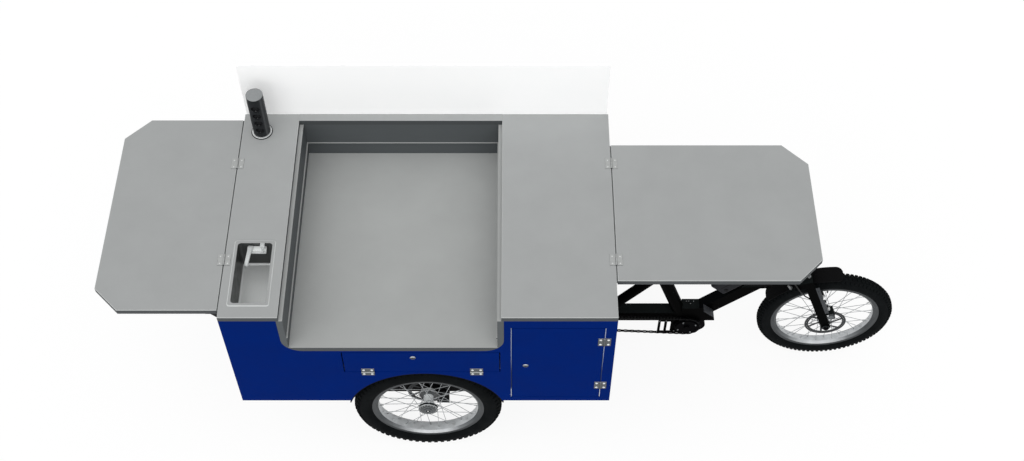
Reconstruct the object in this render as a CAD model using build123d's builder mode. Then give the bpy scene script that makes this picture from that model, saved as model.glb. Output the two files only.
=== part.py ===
"""Food cargo bike: a three-wheeler with a worktop box over its rear wheels.

+X is the bike's front, +Y its left side, +Z up. The origin lies on the ground,
below the middle of the whole object. All sizes are in millimetres.
"""

import os
from math import acos, asin, atan2, cos, hypot, pi, radians, sin, sqrt

from build123d import *

os.makedirs("parts", exist_ok=True)

# Worktop, tables and screen
WORKTOP_LENGTH = 1350.0
WORKTOP_DEPTH = 892.0
WORKTOP_HEIGHT = 946.0
BOARD = 22.0
EDGE_ROUND = 2.0
TABLE_GAP = 4.0
REAR_TABLE_LENGTH = 426.0
REAR_TABLE_DEPTH = 832.0
FRONT_TABLE_LENGTH = 712.0
FRONT_TABLE_DEPTH = 595.0
TABLE_CHAMFER = 88.0
BRACKET_ARM = 46.0
BRACKET_DROP = 60.0
BRACKET_WIDTH = 24.0
BRACKET_STEEL = 4.0
BRACKET_INSET = 2.0
FRONT_BRACKET_INSET = 95.0
SCREEN = 6.0
SCREEN_HEIGHT = 268.0
SCREEN_DROP = 60.0
SCREEN_INSET = 6.0
SCREEN_CORNER = 18.0

# Sunken well in the worktop
WELL_OFFSET = 217.0
WELL_LENGTH = 725.0
WELL_DEPTH = 196.0
WELL_BACK_INSET = 30.0
WELL_BOARD_SHOW = 14.0
WELL_STRIP_OVERHANG = 3.0
WELL_CUT_ROUND = 70.0
LEDGE_DROP = 130.0
LEDGE_WIDTH = 5.0
LEDGE_HEIGHT = 6.0

# Box under the worktop
PANEL = 12.0
PANEL_BOTTOM = 372.0
PANEL_CLEARANCE = 0.5
AXLE_OFFSET = 678.0
ARCH_RADIUS = 294.0
HOUSE_SHELL = 4.0
HOUSE_DEPTH = 104.0
HOUSE_SETBACK = 1.0
HOUSE_SKIRT = 18.0
REAR_PARTITION_OFFSET = 380.0

# Cupboard door and flap, and the butt hinges they share with the tables
DOOR_OFFSET = 992.0
DOOR_LENGTH = 317.0
DOOR_BOTTOM = 401.0
DOOR_HEIGHT = 475.0
DOOR_HINGE_MARGIN = 87.0
LEAF_GAP = 4.0
FLAP_OFFSET = 398.0
FLAP_LENGTH = 549.0
FLAP_BOTTOM = 586.0
FLAP_HEIGHT = 129.0
FLAP_HINGE_MARGIN = 81.0
HINGE_LENGTH = 46.0
HINGE_LEAF_WIDTH = 22.0
HINGE_LEAF = 2.0
LEAF_SEAT = 1.0
KNUCKLE_RADIUS = 3.0
HINGE_PIN_RADIUS = 1.5
RUNNING_CLEARANCE = 0.05
PART_CLEARANCE = 0.4
TABLE_HINGE_SPACING = 422.0
LOCK_HEAD_RADIUS = 10.0
LOCK_HEAD = 3.0
LOCK_BARREL_RADIUS = 8.0
LOCK_BARREL_TAIL = 4.0
LOCK_CAM = 2.0
LOCK_CAM_WIDTH = 14.0
DOOR_LOCK_INSET = 48.0
DOOR_LOCK_HEIGHT = 230.5
DOOR_CAM_LENGTH = 60.0
FLAP_LOCK_INSET = 246.0
FLAP_LOCK_DROP = 29.0
FLAP_CAM_LENGTH = 38.0

# Sink, tap, socket tower and canisters
SINK_OFFSET = 38.5
SINK_NEAR_INSET = 57.0
SINK_LENGTH = 121.5
SINK_WIDTH = 248.0
SINK_DEPTH = 127.0
SINK_SHEET = 2.0
SINK_RIM = 7.0
SINK_RIM_HEIGHT = 1.5
SINK_CORNER = 12.0
SINK_FLOOR_ROUND = 8.0
DRAIN_RADIUS = 12.0
DRAIN_WALL = 3.0
DRAIN_TAIL = 40.0
DRAIN_INSET = 40.0
TAP_LENGTH = 66.0
TAP_OFFSET = 32.0
TAP_DEPTH = 20.0
TAP_HEIGHT = 24.0
TAP_DROP = 14.0
TAP_WALL_GAP = 2.0
TAP_END_MARGIN = 11.0
TAP_ROUND = 4.0
TAP_INLET_RADIUS = 5.0
TAP_INLET_LENGTH = 14.0
TAP_STEM_RADIUS = 4.0
TAP_STEM_LENGTH = 10.0
SPOUT_LENGTH = 66.0
SPOUT_FALL = 14.0
SPOUT_SIDE = 9.0
SPOUT_RADIUS = 5.0
SPOUT_COLLAR_RADIUS = 10.0
SPOUT_COLLAR = 14.0
LEVER_RADIUS = 8.0
LEVER_HEIGHT = 9.0
LEVER_LENGTH = 22.0
LEVER_WIDTH = 8.0
LEVER_THICKNESS = 4.0
TOWER_OFFSET = 71.5
TOWER_FAR_INSET = 84.0
TOWER_RADIUS = 31.0
TOWER_HEIGHT = 205.0
TOWER_FOOT = 45.0
TOWER_BORE = 14.0
TOWER_CROWN = 12.0
COLLAR_RADIUS = 37.0
COLLAR_HEIGHT = 4.0
SLEEVE_WALL = 3.0
SLEEVE_LENGTH = 62.0
SOCKET_RADIUS = 16.0
SOCKET_DEPTH = 12.0
SOCKET_COUNT = 4
SOCKET_PITCH = 39.5
SOCKET_FIRST = 38.0
TANK_LENGTH = 150.0
TANK_WIDTH = 300.0
TANK_HEIGHT = 290.0
TANK_ROUND = 18.0
TANK_CAP_RADIUS = 30.0
TANK_CAP = 14.0
TANK_INSET = 26.0
TANK_SPREAD = 360.0

# Chassis under the box
TUBE_BOTTOM = 248.0
TUBE_WALL = 3.0
TUBE_HEIGHT = 54.0
RAIL_WIDTH = 40.0
RAIL_INSET = 85.0
RAIL_REAR_INSET = 80.0
RAIL_FRONT_INSET = 20.0
BEAM_WIDTH = 40.0
BEAM_INSET = 46.0
BEAM_OFFSETS = (100.0, 320.0, 1080.0, 1280.0)
AXLE_BEAM_OFFSET = 560.0
SHAFT_PLATE = 8.0
SHAFT_PLATE_Y = 12.0
SHAFT_PLATE_MARGIN = 26.0
BEARING_RADIUS = 26.0
BEARING_WIDTH = 12.0

# Rear wheels
REAR_TYRE_RADIUS = 276.0
REAR_TYRE_WIDTH = 75.0
REAR_RIM_WIDTH = 50.0
REAR_WHEEL_INSET = 42.0
REAR_AXLE_RADIUS = 10.0
REAR_HUB_OUTER = 30.0
REAR_HUB_INNER = 54.0
REAR_FLANGE_OUTER = 16.0
REAR_FLANGE_INNER = 34.0
REAR_FLANGE_RADIUS = 36.0
REAR_HUB_RADIUS = 18.0
REAR_DISC_INNER = 51.0
AXLE_CAP = 5.0
AXLE_CAP_RADIUS = 14.0
AXLE_CAP_CLEARANCE = 0.4

# Front wheel
FRONT_TYRE_RADIUS = 262.0
FRONT_TYRE_WIDTH = 58.0
FRONT_RIM_WIDTH = 40.0
FRONT_AXLE_REACH = 867.0
FRONT_AXLE_RADIUS = 6.0
FRONT_HUB_HALF = 46.0
FRONT_FLANGE = 26.0
FRONT_FLANGE_RADIUS = 29.0
FRONT_HUB_RADIUS = 15.0
FRONT_DISC_INNER = 40.0

# Wheel details common to all three
RIM_SEAT_RADIUS = 203.0
RIM_FLANGE = 6.5
RIM_WALL = 2.5
RIM_DEPTH = 16.0
RIM_BED = 4.0
RIM_SHOULDER = 9.0
TYRE_WALL = 6.0
BEAD_WIDTH = 6.0
BEAD_HEIGHT = 12.0
BEAD_CLEARANCE = 0.3
SPOKE_RADIUS = 1.1
SPOKES_PER_FACE = 9
SPOKE_LEAN = 60.0
SPOKE_SEAT_INSET = 0.5
SPOKE_FLANGE_GAP = 0.75
SPOKE_RIM_GAP = 0.45
SPOKE_RIM_OUTER = 6.0
SPOKE_RIM_INNER = 4.0
FLANGE = 3.0
DISC_RADIUS = 80.0
DISC_RING = 15.0
DISC = 2.0
DISC_ARM = 8.0
DISC_ARMS = 6
DISC_CENTRE_RADIUS = 26.0
DISC_SEAT = 4.0
CALIPER_SLOT = 7.0
CALIPER_LENGTH = 46.0
CALIPER_HEIGHT = 46.0
CALIPER_INSET = 50.5
CALIPER_FOOT = 7.0
FRONT_CALIPER_LENGTH = 30.0
FRONT_CALIPER_HEIGHT = 40.0

# Bicycle frame ahead of the box
TUBE_WIDTH = 45.0
MAIN_TUBE_TAIL = 290.0
MAIN_TUBE_REACH = 436.0
MAIN_TUBE_MITRE = 46.0
SEAT_TUBE_FOOT = 291.0
SEAT_TUBE_LEAN = 19.2
SEAT_TUBE_RADIUS = 25.0
SEAT_TUBE_RISE = 314.0
STAY_FOOT = 18.0
STAY_RADIUS = 19.5
STAY_RISE = 246.5
DOWN_TUBE_FOOT = 405.0
DOWN_TUBE_RISE = 30.0
DOWN_TUBE_START = 45.0
GUSSET_REACH = 303.0
GUSSET_LENGTH = 74.0
GUSSET_HEIGHT = 32.0
SEAT_POST_RADIUS = 15.0
SEAT_POST_LENGTH = 330.0
SEAT_POST_DEPTH = 170.0
SEAT_POST_TRAVEL = 50.0
SADDLE_LENGTH = 262.0
SADDLE_TAIL = 104.0
SADDLE_TAIL_RADIUS = 42.0
SADDLE_TAIL_SPREAD = 38.0
SADDLE_NOSE_RADIUS = 22.0
SADDLE_HEIGHT = 58.0
SADDLE_CROWN = 20.0
SADDLE_BASE_ROUND = 6.0

# Fork, steering and mudguard
HEAD_LEAN = 21.0
FORK_OFFSET = 30.0
BLADE_WIDTH = 34.0
BLADE = 16.0
BLADE_INNER = 48.0
CROWN_BOTTOM = 303.0
CROWN = 32.0
STEERER_RADIUS = 14.3
HEAD_TUBE_RADIUS = 22.0
HEAD_TUBE_LENGTH = 124.0
RACE = 5.0
RACE_RADIUS = 20.0
RACE_CLEARANCE = 0.3
STEM_COLLAR = 26.0
STEM_RADIUS = 17.0
STEM_RISE = 78.0
AXLE_NUT_RADIUS = 10.0
AXLE_NUT = 7.0
BAR_RADIUS = 11.0
BAR_STRAIGHT = 70.0
BAR_HALF_WIDTH = 222.0
BAR_SWEEP = 45.0
BAR_RISE = 42.0
BAR_END = 130.0
BAR_END_RISE = 3.0
BAR_BEND = 45.0
GRIP_LENGTH = 78.0
GRIP_RADIUS = 16.0
CLAMP_LENGTH = 16.0
CLAMP_GAP = 2.0
LEVER_PIVOT_RADIUS = 3.0
LEVER_BOSS_RADIUS = 6.0
LEVER_DROP = 34.0
LEVER_BLADE_LENGTH = 90.0
LEVER_BLADE_FALL = 6.0
LEVER_TIP_RADIUS = 4.0
LEVER_BLADE = 8.0
LEVER_EAR = 4.0
CABLE_BOSS_RADIUS = 5.0
CABLE_BOSS_LENGTH = 20.0
CABLE_RADIUS = 2.5
CABLE_BEND = 16.0
GUARD_RADIUS = 277.0
GUARD = 3.0
GUARD_WIDTH = 66.0
GUARD_FRONT = 85.0
GUARD_REAR = 152.0
GUARD_CORNER = 24.0
GUARD_POST_WIDTH = 30.0
LUG_LENGTH = 30.0

# Motor, chain and battery
CHAIN_PITCH = 12.7
MOTOR_TEETH = 26
REAR_TEETH = 18
SPROCKET = 3.0
TOOTH_CLEARANCE = 1.6
ROLLER_RADIUS = 4.2
CHAIN_INNER = 1.0
CHAIN_OUTER = 4.5
CHAIN_WIDTH = 8.0
CHAIN_Y = -30.0
SHAFT_NEAR_END = 15.0
MOTOR_REACH = 330.0
MOTOR_HEIGHT = 217.0
MOTOR_BODY_RADIUS = 50.0
MOTOR_BODY_BACK = 5.5
MOTOR_BODY_DROP = 22.0
MOTOR_NOSE_RADIUS = 40.0
MOTOR_NOSE_REACH = 34.5
MOTOR_NOSE_DROP = 12.0
MOTOR_NEAR = -18.0
MOTOR_FAR = 62.0
MOTOR_SHAFT_RADIUS = 8.0
MOTOR_SHAFT_DEPTH = 20.0
MOTOR_SHAFT_END = 9.0
SPIDER_RADIUS = 44.0
SPIDER = 4.0
MOTOR_PLATE = 4.5
MOTOR_PLATE_REAR = 112.0
MOTOR_PLATE_DROP = 92.0
MOTOR_PLATE_BAR = 10.0
MOTOR_PLATE_WINDOW = 15.0
MOTOR_PLATE_WINDOWS = 2
BATTERY_START = 104.0
BATTERY_LENGTH = 240.0
BATTERY_THICKNESS = 80.0
BATTERY_WIDTH = 50.0
BATTERY_RAIL = 12.0
BATTERY_RAIL_WIDTH = 30.0
BATTERY_RAIL_INSET = 15.0
BATTERY_ROUND = 10.0

# Places worked out from the sizes above
overall_length = REAR_TABLE_LENGTH + TABLE_GAP + WORKTOP_LENGTH + FRONT_AXLE_REACH + FRONT_TYRE_RADIUS
box_rear = REAR_TABLE_LENGTH + TABLE_GAP - overall_length / 2
box_front = box_rear + WORKTOP_LENGTH
near = -WORKTOP_DEPTH / 2
far = WORKTOP_DEPTH / 2
top = WORKTOP_HEIGHT
slab_bottom = top - BOARD
inner_near = near + PANEL
inner_far = far - PANEL
floor_top = PANEL_BOTTOM + PANEL
rear_axle = Vector(box_rear + AXLE_OFFSET, 0, REAR_TYRE_RADIUS)
front_axle = Vector(box_front + FRONT_AXLE_REACH, 0, FRONT_TYRE_RADIUS)


def at_y(y):
    """Upright plane: X to the right, Z up; a negative extrude runs towards +Y."""
    return Plane(origin=(0, y, 0), x_dir=(1, 0, 0), z_dir=(0, -1, 0))


def rect(a0, a1, b0, b1, mode=Mode.ADD):
    """Rectangle between two corners of the current sketch."""
    with Locations(((a0 + a1) / 2, (b0 + b1) / 2)):
        Rectangle(a1 - a0, b1 - b0, mode=mode)


def disc(a, b, radius, mode=Mode.ADD):
    """Circle at a point of the current sketch."""
    with Locations((a, b)):
        Circle(radius, mode=mode)


def belt(a0, b0, r0, a1, b1, r1, mode=Mode.ADD):
    """Two circles of the current sketch and all that lies between their outer tangents."""
    disc(a0, b0, r0, mode)
    disc(a1, b1, r1, mode)
    along = atan2(b1 - b0, a1 - a0)
    turn = acos((r0 - r1) / hypot(a1 - a0, b1 - b0))
    low, high = along - turn, along + turn
    Polygon(
        (a0 + r0 * cos(low), b0 + r0 * sin(low)),
        (a1 + r1 * cos(low), b1 + r1 * sin(low)),
        (a1 + r1 * cos(high), b1 + r1 * sin(high)),
        (a0 + r0 * cos(high), b0 + r0 * sin(high)),
        align=None,
        mode=mode,
    )


def block(x0, x1, y0, y1, z0, z1, mode=Mode.ADD):
    """Square block between two corners of the current part."""
    with BuildSketch(Plane.XY.offset(z0)) as face:
        rect(x0, x1, y0, y1)
    extrude(face.sketch, amount=z1 - z0, mode=mode)


def rod(start, end, radius, mode=Mode.ADD):
    """Round bar of the current part from one point to another."""
    start, end = Vector(start), Vector(end)
    with BuildSketch(Plane(origin=start, z_dir=end - start)) as face:
        Circle(radius)
    extrude(face.sketch, amount=(end - start).length, mode=mode)


def keep(builder, node):
    """Labels a finished piece and writes it."""
    builder.part.label = node
    export_step(builder.part, f"parts/{node}.step")


# Worktop slabs beside the well, and the strip behind it
well_rear = box_rear + WELL_OFFSET
well_front = well_rear + WELL_LENGTH
well_back = far - WELL_BACK_INSET
well_floor_top = top - WELL_DEPTH
well_bottom = well_floor_top - BOARD
slab_rear_edge = well_rear - WELL_BOARD_SHOW
slab_front_edge = well_front + WELL_BOARD_SHOW

sink_x0 = box_rear + SINK_OFFSET
sink_x1 = sink_x0 + SINK_LENGTH
sink_y0 = near + SINK_NEAR_INSET
sink_y1 = sink_y0 + SINK_WIDTH
sink_x = (sink_x0 + sink_x1) / 2
sink_y = (sink_y0 + sink_y1) / 2
sink_floor = top - SINK_DEPTH
drain_y = sink_y0 + DRAIN_INSET
tower_x = box_rear + TOWER_OFFSET
tower_y = far - TOWER_FAR_INSET
sleeve_inner = TOWER_RADIUS + RUNNING_CLEARANCE
sleeve_outer = sleeve_inner + SLEEVE_WALL


def sink_outline(grow):
    """The bowl's rounded outline, grown on every side."""
    with Locations((sink_x, sink_y)):
        RectangleRounded(SINK_LENGTH + 2 * grow, SINK_WIDTH + 2 * grow, SINK_CORNER + grow)


def leaf_seats(edge, inward):
    """Shallow seats for a table's two hinge leaves, cut into the current board from its hinged edge."""
    reach = HINGE_LEAF_WIDTH - TABLE_GAP / 2 + PART_CLEARANCE
    half = HINGE_LENGTH / 2 + PART_CLEARANCE
    x0, x1 = sorted((edge, edge + inward * reach))
    for y in (-TABLE_HINGE_SPACING / 2, TABLE_HINGE_SPACING / 2):
        block(x0, x1, y - half, y + half, top - LEAF_SEAT, top, Mode.SUBTRACT)


with BuildPart() as rear_worktop:
    block(box_rear, slab_rear_edge, near, far, slab_bottom, top)
    fillet(rear_worktop.edges().group_by(Axis.Z)[-1], EDGE_ROUND)
    leaf_seats(box_rear, 1)
    with BuildSketch(Plane.XY.offset(slab_bottom)):
        sink_outline(SINK_SHEET + PART_CLEARANCE)
        disc(tower_x, tower_y, sleeve_outer + PART_CLEARANCE)
    extrude(amount=BOARD, mode=Mode.SUBTRACT)
keep(rear_worktop, "rear_worktop")

with BuildPart() as front_worktop:
    block(slab_front_edge, box_front, near, far, slab_bottom, top)
    fillet(front_worktop.edges().group_by(Axis.Z)[-1], EDGE_ROUND)
    leaf_seats(box_front, -1)
keep(front_worktop, "front_worktop")

with BuildPart() as worktop_strip:
    block(slab_rear_edge, slab_front_edge, well_back - WELL_STRIP_OVERHANG, far, slab_bottom, top)
keep(worktop_strip, "worktop_strip")

# Well: its floor and side boards end in the serving side's rounded U cut
well_outer_rear = well_rear - BOARD
well_outer_front = well_front + BOARD


def well_outline(grow):
    """U shape of the well's boards, from the slabs' underside down to under the floor board."""
    x0 = well_outer_rear - grow
    x1 = well_outer_front + grow
    bottom = well_bottom - grow
    corner = WELL_CUT_ROUND + grow
    rect(x0, x1, bottom + corner, slab_bottom)
    rect(x0 + corner, x1 - corner, bottom, bottom + corner)
    disc(x0 + corner, bottom + corner, corner)
    disc(x1 - corner, bottom + corner, corner)


with BuildPart() as well_floor:
    with BuildSketch(at_y(near)):
        well_outline(0)
        rect(well_outer_rear, well_outer_front, well_floor_top, slab_bottom, Mode.SUBTRACT)
        for x0, x1 in ((well_outer_rear, well_rear), (well_front, well_outer_front)):
            rect(x0, x1, well_bottom, well_floor_top, Mode.SUBTRACT)
    extrude(amount=near - well_back)
keep(well_floor, "well_floor")

ledge_top = top - LEDGE_DROP
with BuildPart() as well_boards:
    with BuildSketch(at_y(near)):
        well_outline(0)
        rect(well_rear, well_front, well_bottom, slab_bottom, Mode.SUBTRACT)
        rect(well_rear, well_rear + LEDGE_WIDTH, ledge_top - LEDGE_HEIGHT, ledge_top)
        rect(well_front - LEDGE_WIDTH, well_front, ledge_top - LEDGE_HEIGHT, ledge_top)
    extrude(amount=near - well_back)
    block(well_outer_rear, well_outer_front, well_back, inner_far, well_bottom, slab_bottom)
    block(well_rear, well_front, well_back - LEDGE_WIDTH, well_back, ledge_top - LEDGE_HEIGHT, ledge_top)
keep(well_boards, "well_boards")

# Side panels, end panels, floor and partitions of the box
door_x0 = box_rear + DOOR_OFFSET
door_x1 = door_x0 + DOOR_LENGTH
door_top = DOOR_BOTTOM + DOOR_HEIGHT
flap_x0 = box_rear + FLAP_OFFSET
flap_x1 = flap_x0 + FLAP_LENGTH
flap_top = FLAP_BOTTOM + FLAP_HEIGHT
arch_cut = ARCH_RADIUS + PANEL_CLEARANCE
house_depth_far = near + HOUSE_DEPTH

with BuildPart() as serving_side_panel:
    with BuildSketch(at_y(near)):
        rect(box_rear, box_front, PANEL_BOTTOM, slab_bottom)
        with BuildSketch(mode=Mode.SUBTRACT):
            well_outline(PANEL_CLEARANCE)
        disc(rear_axle.X, rear_axle.Z, arch_cut, Mode.SUBTRACT)
        rect(door_x0 - LEAF_GAP, door_x1 + LEAF_GAP, DOOR_BOTTOM - LEAF_GAP, door_top + LEAF_GAP,
             Mode.SUBTRACT)
        rect(flap_x0 - LEAF_GAP, flap_x1 + LEAF_GAP, FLAP_BOTTOM - LEAF_GAP, flap_top + LEAF_GAP,
             Mode.SUBTRACT)
    extrude(amount=-PANEL)
keep(serving_side_panel, "serving_side_panel")

with BuildPart() as far_side_panel:
    with BuildSketch(at_y(inner_far)):
        rect(box_rear, box_front, PANEL_BOTTOM, slab_bottom)
        disc(rear_axle.X, rear_axle.Z, arch_cut, Mode.SUBTRACT)
    extrude(amount=-PANEL)
keep(far_side_panel, "far_side_panel")

with BuildPart() as end_panels:
    block(box_rear, box_rear + PANEL, inner_near, inner_far, PANEL_BOTTOM, slab_bottom)
    block(box_front - PANEL, box_front, inner_near, inner_far, PANEL_BOTTOM, slab_bottom)
keep(end_panels, "end_panels")

notch = sqrt(arch_cut**2 - (PANEL_BOTTOM - rear_axle.Z) ** 2)
notch_depth = HOUSE_DEPTH + PANEL_CLEARANCE
with BuildPart() as box_floor:
    with BuildSketch(Plane.XY.offset(PANEL_BOTTOM)):
        rect(box_rear + PANEL, box_front - PANEL, inner_near, inner_far)
        rect(rear_axle.X - notch, rear_axle.X + notch, near, near + notch_depth, Mode.SUBTRACT)
        rect(rear_axle.X - notch, rear_axle.X + notch, far - notch_depth, far, Mode.SUBTRACT)
    extrude(amount=PANEL)
keep(box_floor, "box_floor")

rear_partition = box_rear + REAR_PARTITION_OFFSET
shelf_bottom = rear_axle.Z + arch_cut
with BuildPart() as inner_panels:
    block(rear_partition, rear_partition + PANEL, inner_near, inner_far, floor_top, well_bottom)
    block(well_outer_front, well_outer_front + PANEL, inner_near, inner_far, floor_top, slab_bottom)
    block(
        rear_partition + PANEL, well_outer_front, inner_near, inner_far, shelf_bottom, shelf_bottom + PANEL
    )
keep(inner_panels, "inner_panels")

house_bottom = PANEL_BOTTOM - HOUSE_SKIRT
house_x0 = rear_axle.X - ARCH_RADIUS
house_x1 = rear_axle.X + ARCH_RADIUS
with BuildPart() as wheel_houses:
    for y, inward in ((near + HOUSE_SETBACK, -1), (far - HOUSE_SETBACK, 1)):
        with BuildSketch(at_y(y)):
            disc(rear_axle.X, rear_axle.Z, ARCH_RADIUS)
            disc(rear_axle.X, rear_axle.Z, ARCH_RADIUS - HOUSE_SHELL, Mode.SUBTRACT)
            rect(house_x0, house_x1, -ARCH_RADIUS, house_bottom, Mode.SUBTRACT)
        extrude(amount=inward * (HOUSE_DEPTH - HOUSE_SETBACK))
        with BuildSketch(at_y(y - inward * (HOUSE_DEPTH - HOUSE_SETBACK - HOUSE_SHELL))):
            disc(rear_axle.X, rear_axle.Z, ARCH_RADIUS)
            rect(house_x0, house_x1, -ARCH_RADIUS, house_bottom, Mode.SUBTRACT)
        extrude(amount=inward * HOUSE_SHELL)
keep(wheel_houses, "wheel_houses")

with BuildPart() as screen:
    with BuildSketch(at_y(far)):
        rect(box_rear + SCREEN_INSET, box_front - SCREEN_INSET, top - SCREEN_DROP, top + SCREEN_HEIGHT)
    extrude(amount=-SCREEN)
    fillet(screen.edges().filter_by(Axis.Y).group_by(Axis.Z)[-1], SCREEN_CORNER)
keep(screen, "screen")

# Folding tables with chamfered outer corners, and the brackets they rest on
rear_table_x1 = box_rear - TABLE_GAP
front_table_x0 = box_front + TABLE_GAP

with BuildPart() as rear_table:
    block(
        rear_table_x1 - REAR_TABLE_LENGTH, rear_table_x1, -REAR_TABLE_DEPTH / 2, REAR_TABLE_DEPTH / 2,
        slab_bottom, top,
    )
    chamfer(rear_table.edges().filter_by(Axis.Z).group_by(Axis.X)[0], TABLE_CHAMFER)
    fillet(rear_table.edges().group_by(Axis.Z)[-1], EDGE_ROUND)
    leaf_seats(rear_table_x1, -1)
keep(rear_table, "rear_table")

with BuildPart() as front_table:
    block(
        front_table_x0, front_table_x0 + FRONT_TABLE_LENGTH, -FRONT_TABLE_DEPTH / 2, FRONT_TABLE_DEPTH / 2,
        slab_bottom, top,
    )
    chamfer(front_table.edges().filter_by(Axis.Z).group_by(Axis.X)[-1], TABLE_CHAMFER)
    fillet(front_table.edges().group_by(Axis.Z)[-1], EDGE_ROUND)
    leaf_seats(front_table_x0, 1)
keep(front_table, "front_table")

bracket_top = slab_bottom - PART_CLEARANCE
with BuildPart() as table_brackets:
    for x, outward, edge in (
        (box_rear, -1, REAR_TABLE_DEPTH / 2 - BRACKET_INSET),
        (box_front, 1, FRONT_TABLE_DEPTH / 2 - FRONT_BRACKET_INSET),
    ):
        for side in (-1, 1):
            y0, y1 = sorted((side * edge, side * (edge - BRACKET_WIDTH)))
            plate = sorted((x, x + outward * BRACKET_STEEL))
            arm = sorted((x, x + outward * BRACKET_ARM))
            block(*plate, y0, y1, bracket_top - BRACKET_DROP, bracket_top)
            block(*arm, y0, y1, bracket_top - BRACKET_STEEL, bracket_top)
            web = (y0 + y1 - BRACKET_STEEL) / 2
            with BuildSketch(at_y(web)):
                Polygon(
                    *(
                        (x, bracket_top - BRACKET_DROP),
                        (x + outward * BRACKET_ARM, bracket_top - BRACKET_STEEL),
                        (x, bracket_top - BRACKET_STEEL),
                    )[::outward],
                    align=None,
                )
            extrude(amount=-BRACKET_STEEL)
keep(table_brackets, "table_brackets")

# Butt hinges: a leaf's plane has X along the pin and Z off the surface it is screwed to
door_axis = door_x1 + LEAF_GAP / 2
flap_axis = FLAP_BOTTOM - LEAF_GAP / 2
leaf_foot = top - LEAF_SEAT
rear_hinges = []
front_hinges = []
for y in (-TABLE_HINGE_SPACING / 2, TABLE_HINGE_SPACING / 2):
    rear_hinges.append(Plane(origin=(box_rear - TABLE_GAP / 2, y, leaf_foot), x_dir=(0, 1, 0)))
    front_hinges.append(Plane(origin=(box_front + TABLE_GAP / 2, y, leaf_foot), x_dir=(0, 1, 0)))
door_hinges = []
for z in (DOOR_BOTTOM + DOOR_HINGE_MARGIN, door_top - DOOR_HINGE_MARGIN):
    door_hinges.append(Plane(origin=(door_axis, near, z), x_dir=(0, 0, 1), z_dir=(0, -1, 0)))
flap_hinges = []
for x in (flap_x0 + FLAP_HINGE_MARGIN, flap_x1 - FLAP_HINGE_MARGIN):
    flap_hinges.append(Plane(origin=(x, near, flap_axis), x_dir=(1, 0, 0), z_dir=(0, -1, 0)))


def pin_plane(place, start):
    """Plane across a hinge's pin, at a distance along it from the hinge's middle."""
    origin = place.from_local_coords((start, 0, KNUCKLE_RADIUS))
    return Plane(origin=origin, x_dir=place.y_dir, z_dir=place.x_dir)


def hinge_leaf(place, side, middle):
    """One leaf with its knuckles bored for the pin: the middle knuckle, or the two outer ones."""
    half = HINGE_LENGTH / 2
    split = HINGE_LENGTH / 6
    reach = KNUCKLE_RADIUS + PART_CLEARANCE
    if middle:
        spans = ((PART_CLEARANCE / 2 - split, split - PART_CLEARANCE / 2),)
    else:
        spans = ((-half, -split - PART_CLEARANCE / 2), (split + PART_CLEARANCE / 2, half))
    with BuildSketch(place) as plate:
        rect(-half, half, *sorted((side * reach, side * HINGE_LEAF_WIDTH)))
        for a0, a1 in spans:
            rect(a0, a1, *sorted((0, side * reach)))
    extrude(plate.sketch, amount=HINGE_LEAF)
    for a0, a1 in spans:
        with BuildSketch(pin_plane(place, a0)) as knuckle:
            Circle(KNUCKLE_RADIUS)
        extrude(knuckle.sketch, amount=a1 - a0)
    with BuildSketch(pin_plane(place, -half)) as bore:
        Circle(HINGE_PIN_RADIUS + RUNNING_CLEARANCE)
    extrude(bore.sketch, amount=HINGE_LENGTH, mode=Mode.SUBTRACT)


with BuildPart() as fixed_hinge_leaves:
    for place in front_hinges:
        hinge_leaf(place, 1, False)
    for place in rear_hinges + door_hinges + flap_hinges:
        hinge_leaf(place, -1, False)
    for place in rear_hinges + front_hinges + door_hinges + flap_hinges:
        with BuildSketch(pin_plane(place, -HINGE_LENGTH / 2)):
            Circle(HINGE_PIN_RADIUS)
        extrude(amount=HINGE_LENGTH)
keep(fixed_hinge_leaves, "fixed_hinge_leaves")

with BuildPart() as rear_table_leaves:
    for place in rear_hinges:
        hinge_leaf(place, 1, True)
keep(rear_table_leaves, "rear_table_leaves")

with BuildPart() as front_table_leaves:
    for place in front_hinges:
        hinge_leaf(place, -1, True)
keep(front_table_leaves, "front_table_leaves")

with BuildPart() as door_leaves:
    for place in door_hinges:
        hinge_leaf(place, 1, True)
keep(door_leaves, "door_leaves")

with BuildPart() as flap_leaves:
    for place in flap_hinges:
        hinge_leaf(place, 1, True)
keep(flap_leaves, "flap_leaves")

# Cupboard door and flap with their turning locks; a cam stands clear until it is turned
door_lock_x = door_x0 + DOOR_LOCK_INSET
door_lock_z = DOOR_BOTTOM + DOOR_LOCK_HEIGHT
flap_lock_x = flap_x0 + FLAP_LOCK_INSET
flap_lock_z = flap_top - FLAP_LOCK_DROP
barrel_hole = LOCK_BARREL_RADIUS + RUNNING_CLEARANCE
barrel_end = inner_near + LOCK_BARREL_TAIL

with BuildPart() as cupboard_door:
    with BuildSketch(at_y(near)):
        rect(door_x0, door_x1, DOOR_BOTTOM, door_top)
        disc(door_lock_x, door_lock_z, barrel_hole, Mode.SUBTRACT)
    extrude(amount=-PANEL)
keep(cupboard_door, "cupboard_door")

with BuildPart() as flap:
    with BuildSketch(at_y(near)):
        rect(flap_x0, flap_x1, FLAP_BOTTOM, flap_top)
        disc(flap_lock_x, flap_lock_z, barrel_hole, Mode.SUBTRACT)
    extrude(amount=-PANEL)
keep(flap, "flap")


def lock(x, z):
    """Head and barrel of a lock in the current part."""
    rod((x, near - LOCK_HEAD, z), (x, near - RUNNING_CLEARANCE, z), LOCK_HEAD_RADIUS)
    rod((x, near - LOCK_HEAD, z), (x, barrel_end, z), LOCK_BARREL_RADIUS)


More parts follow.
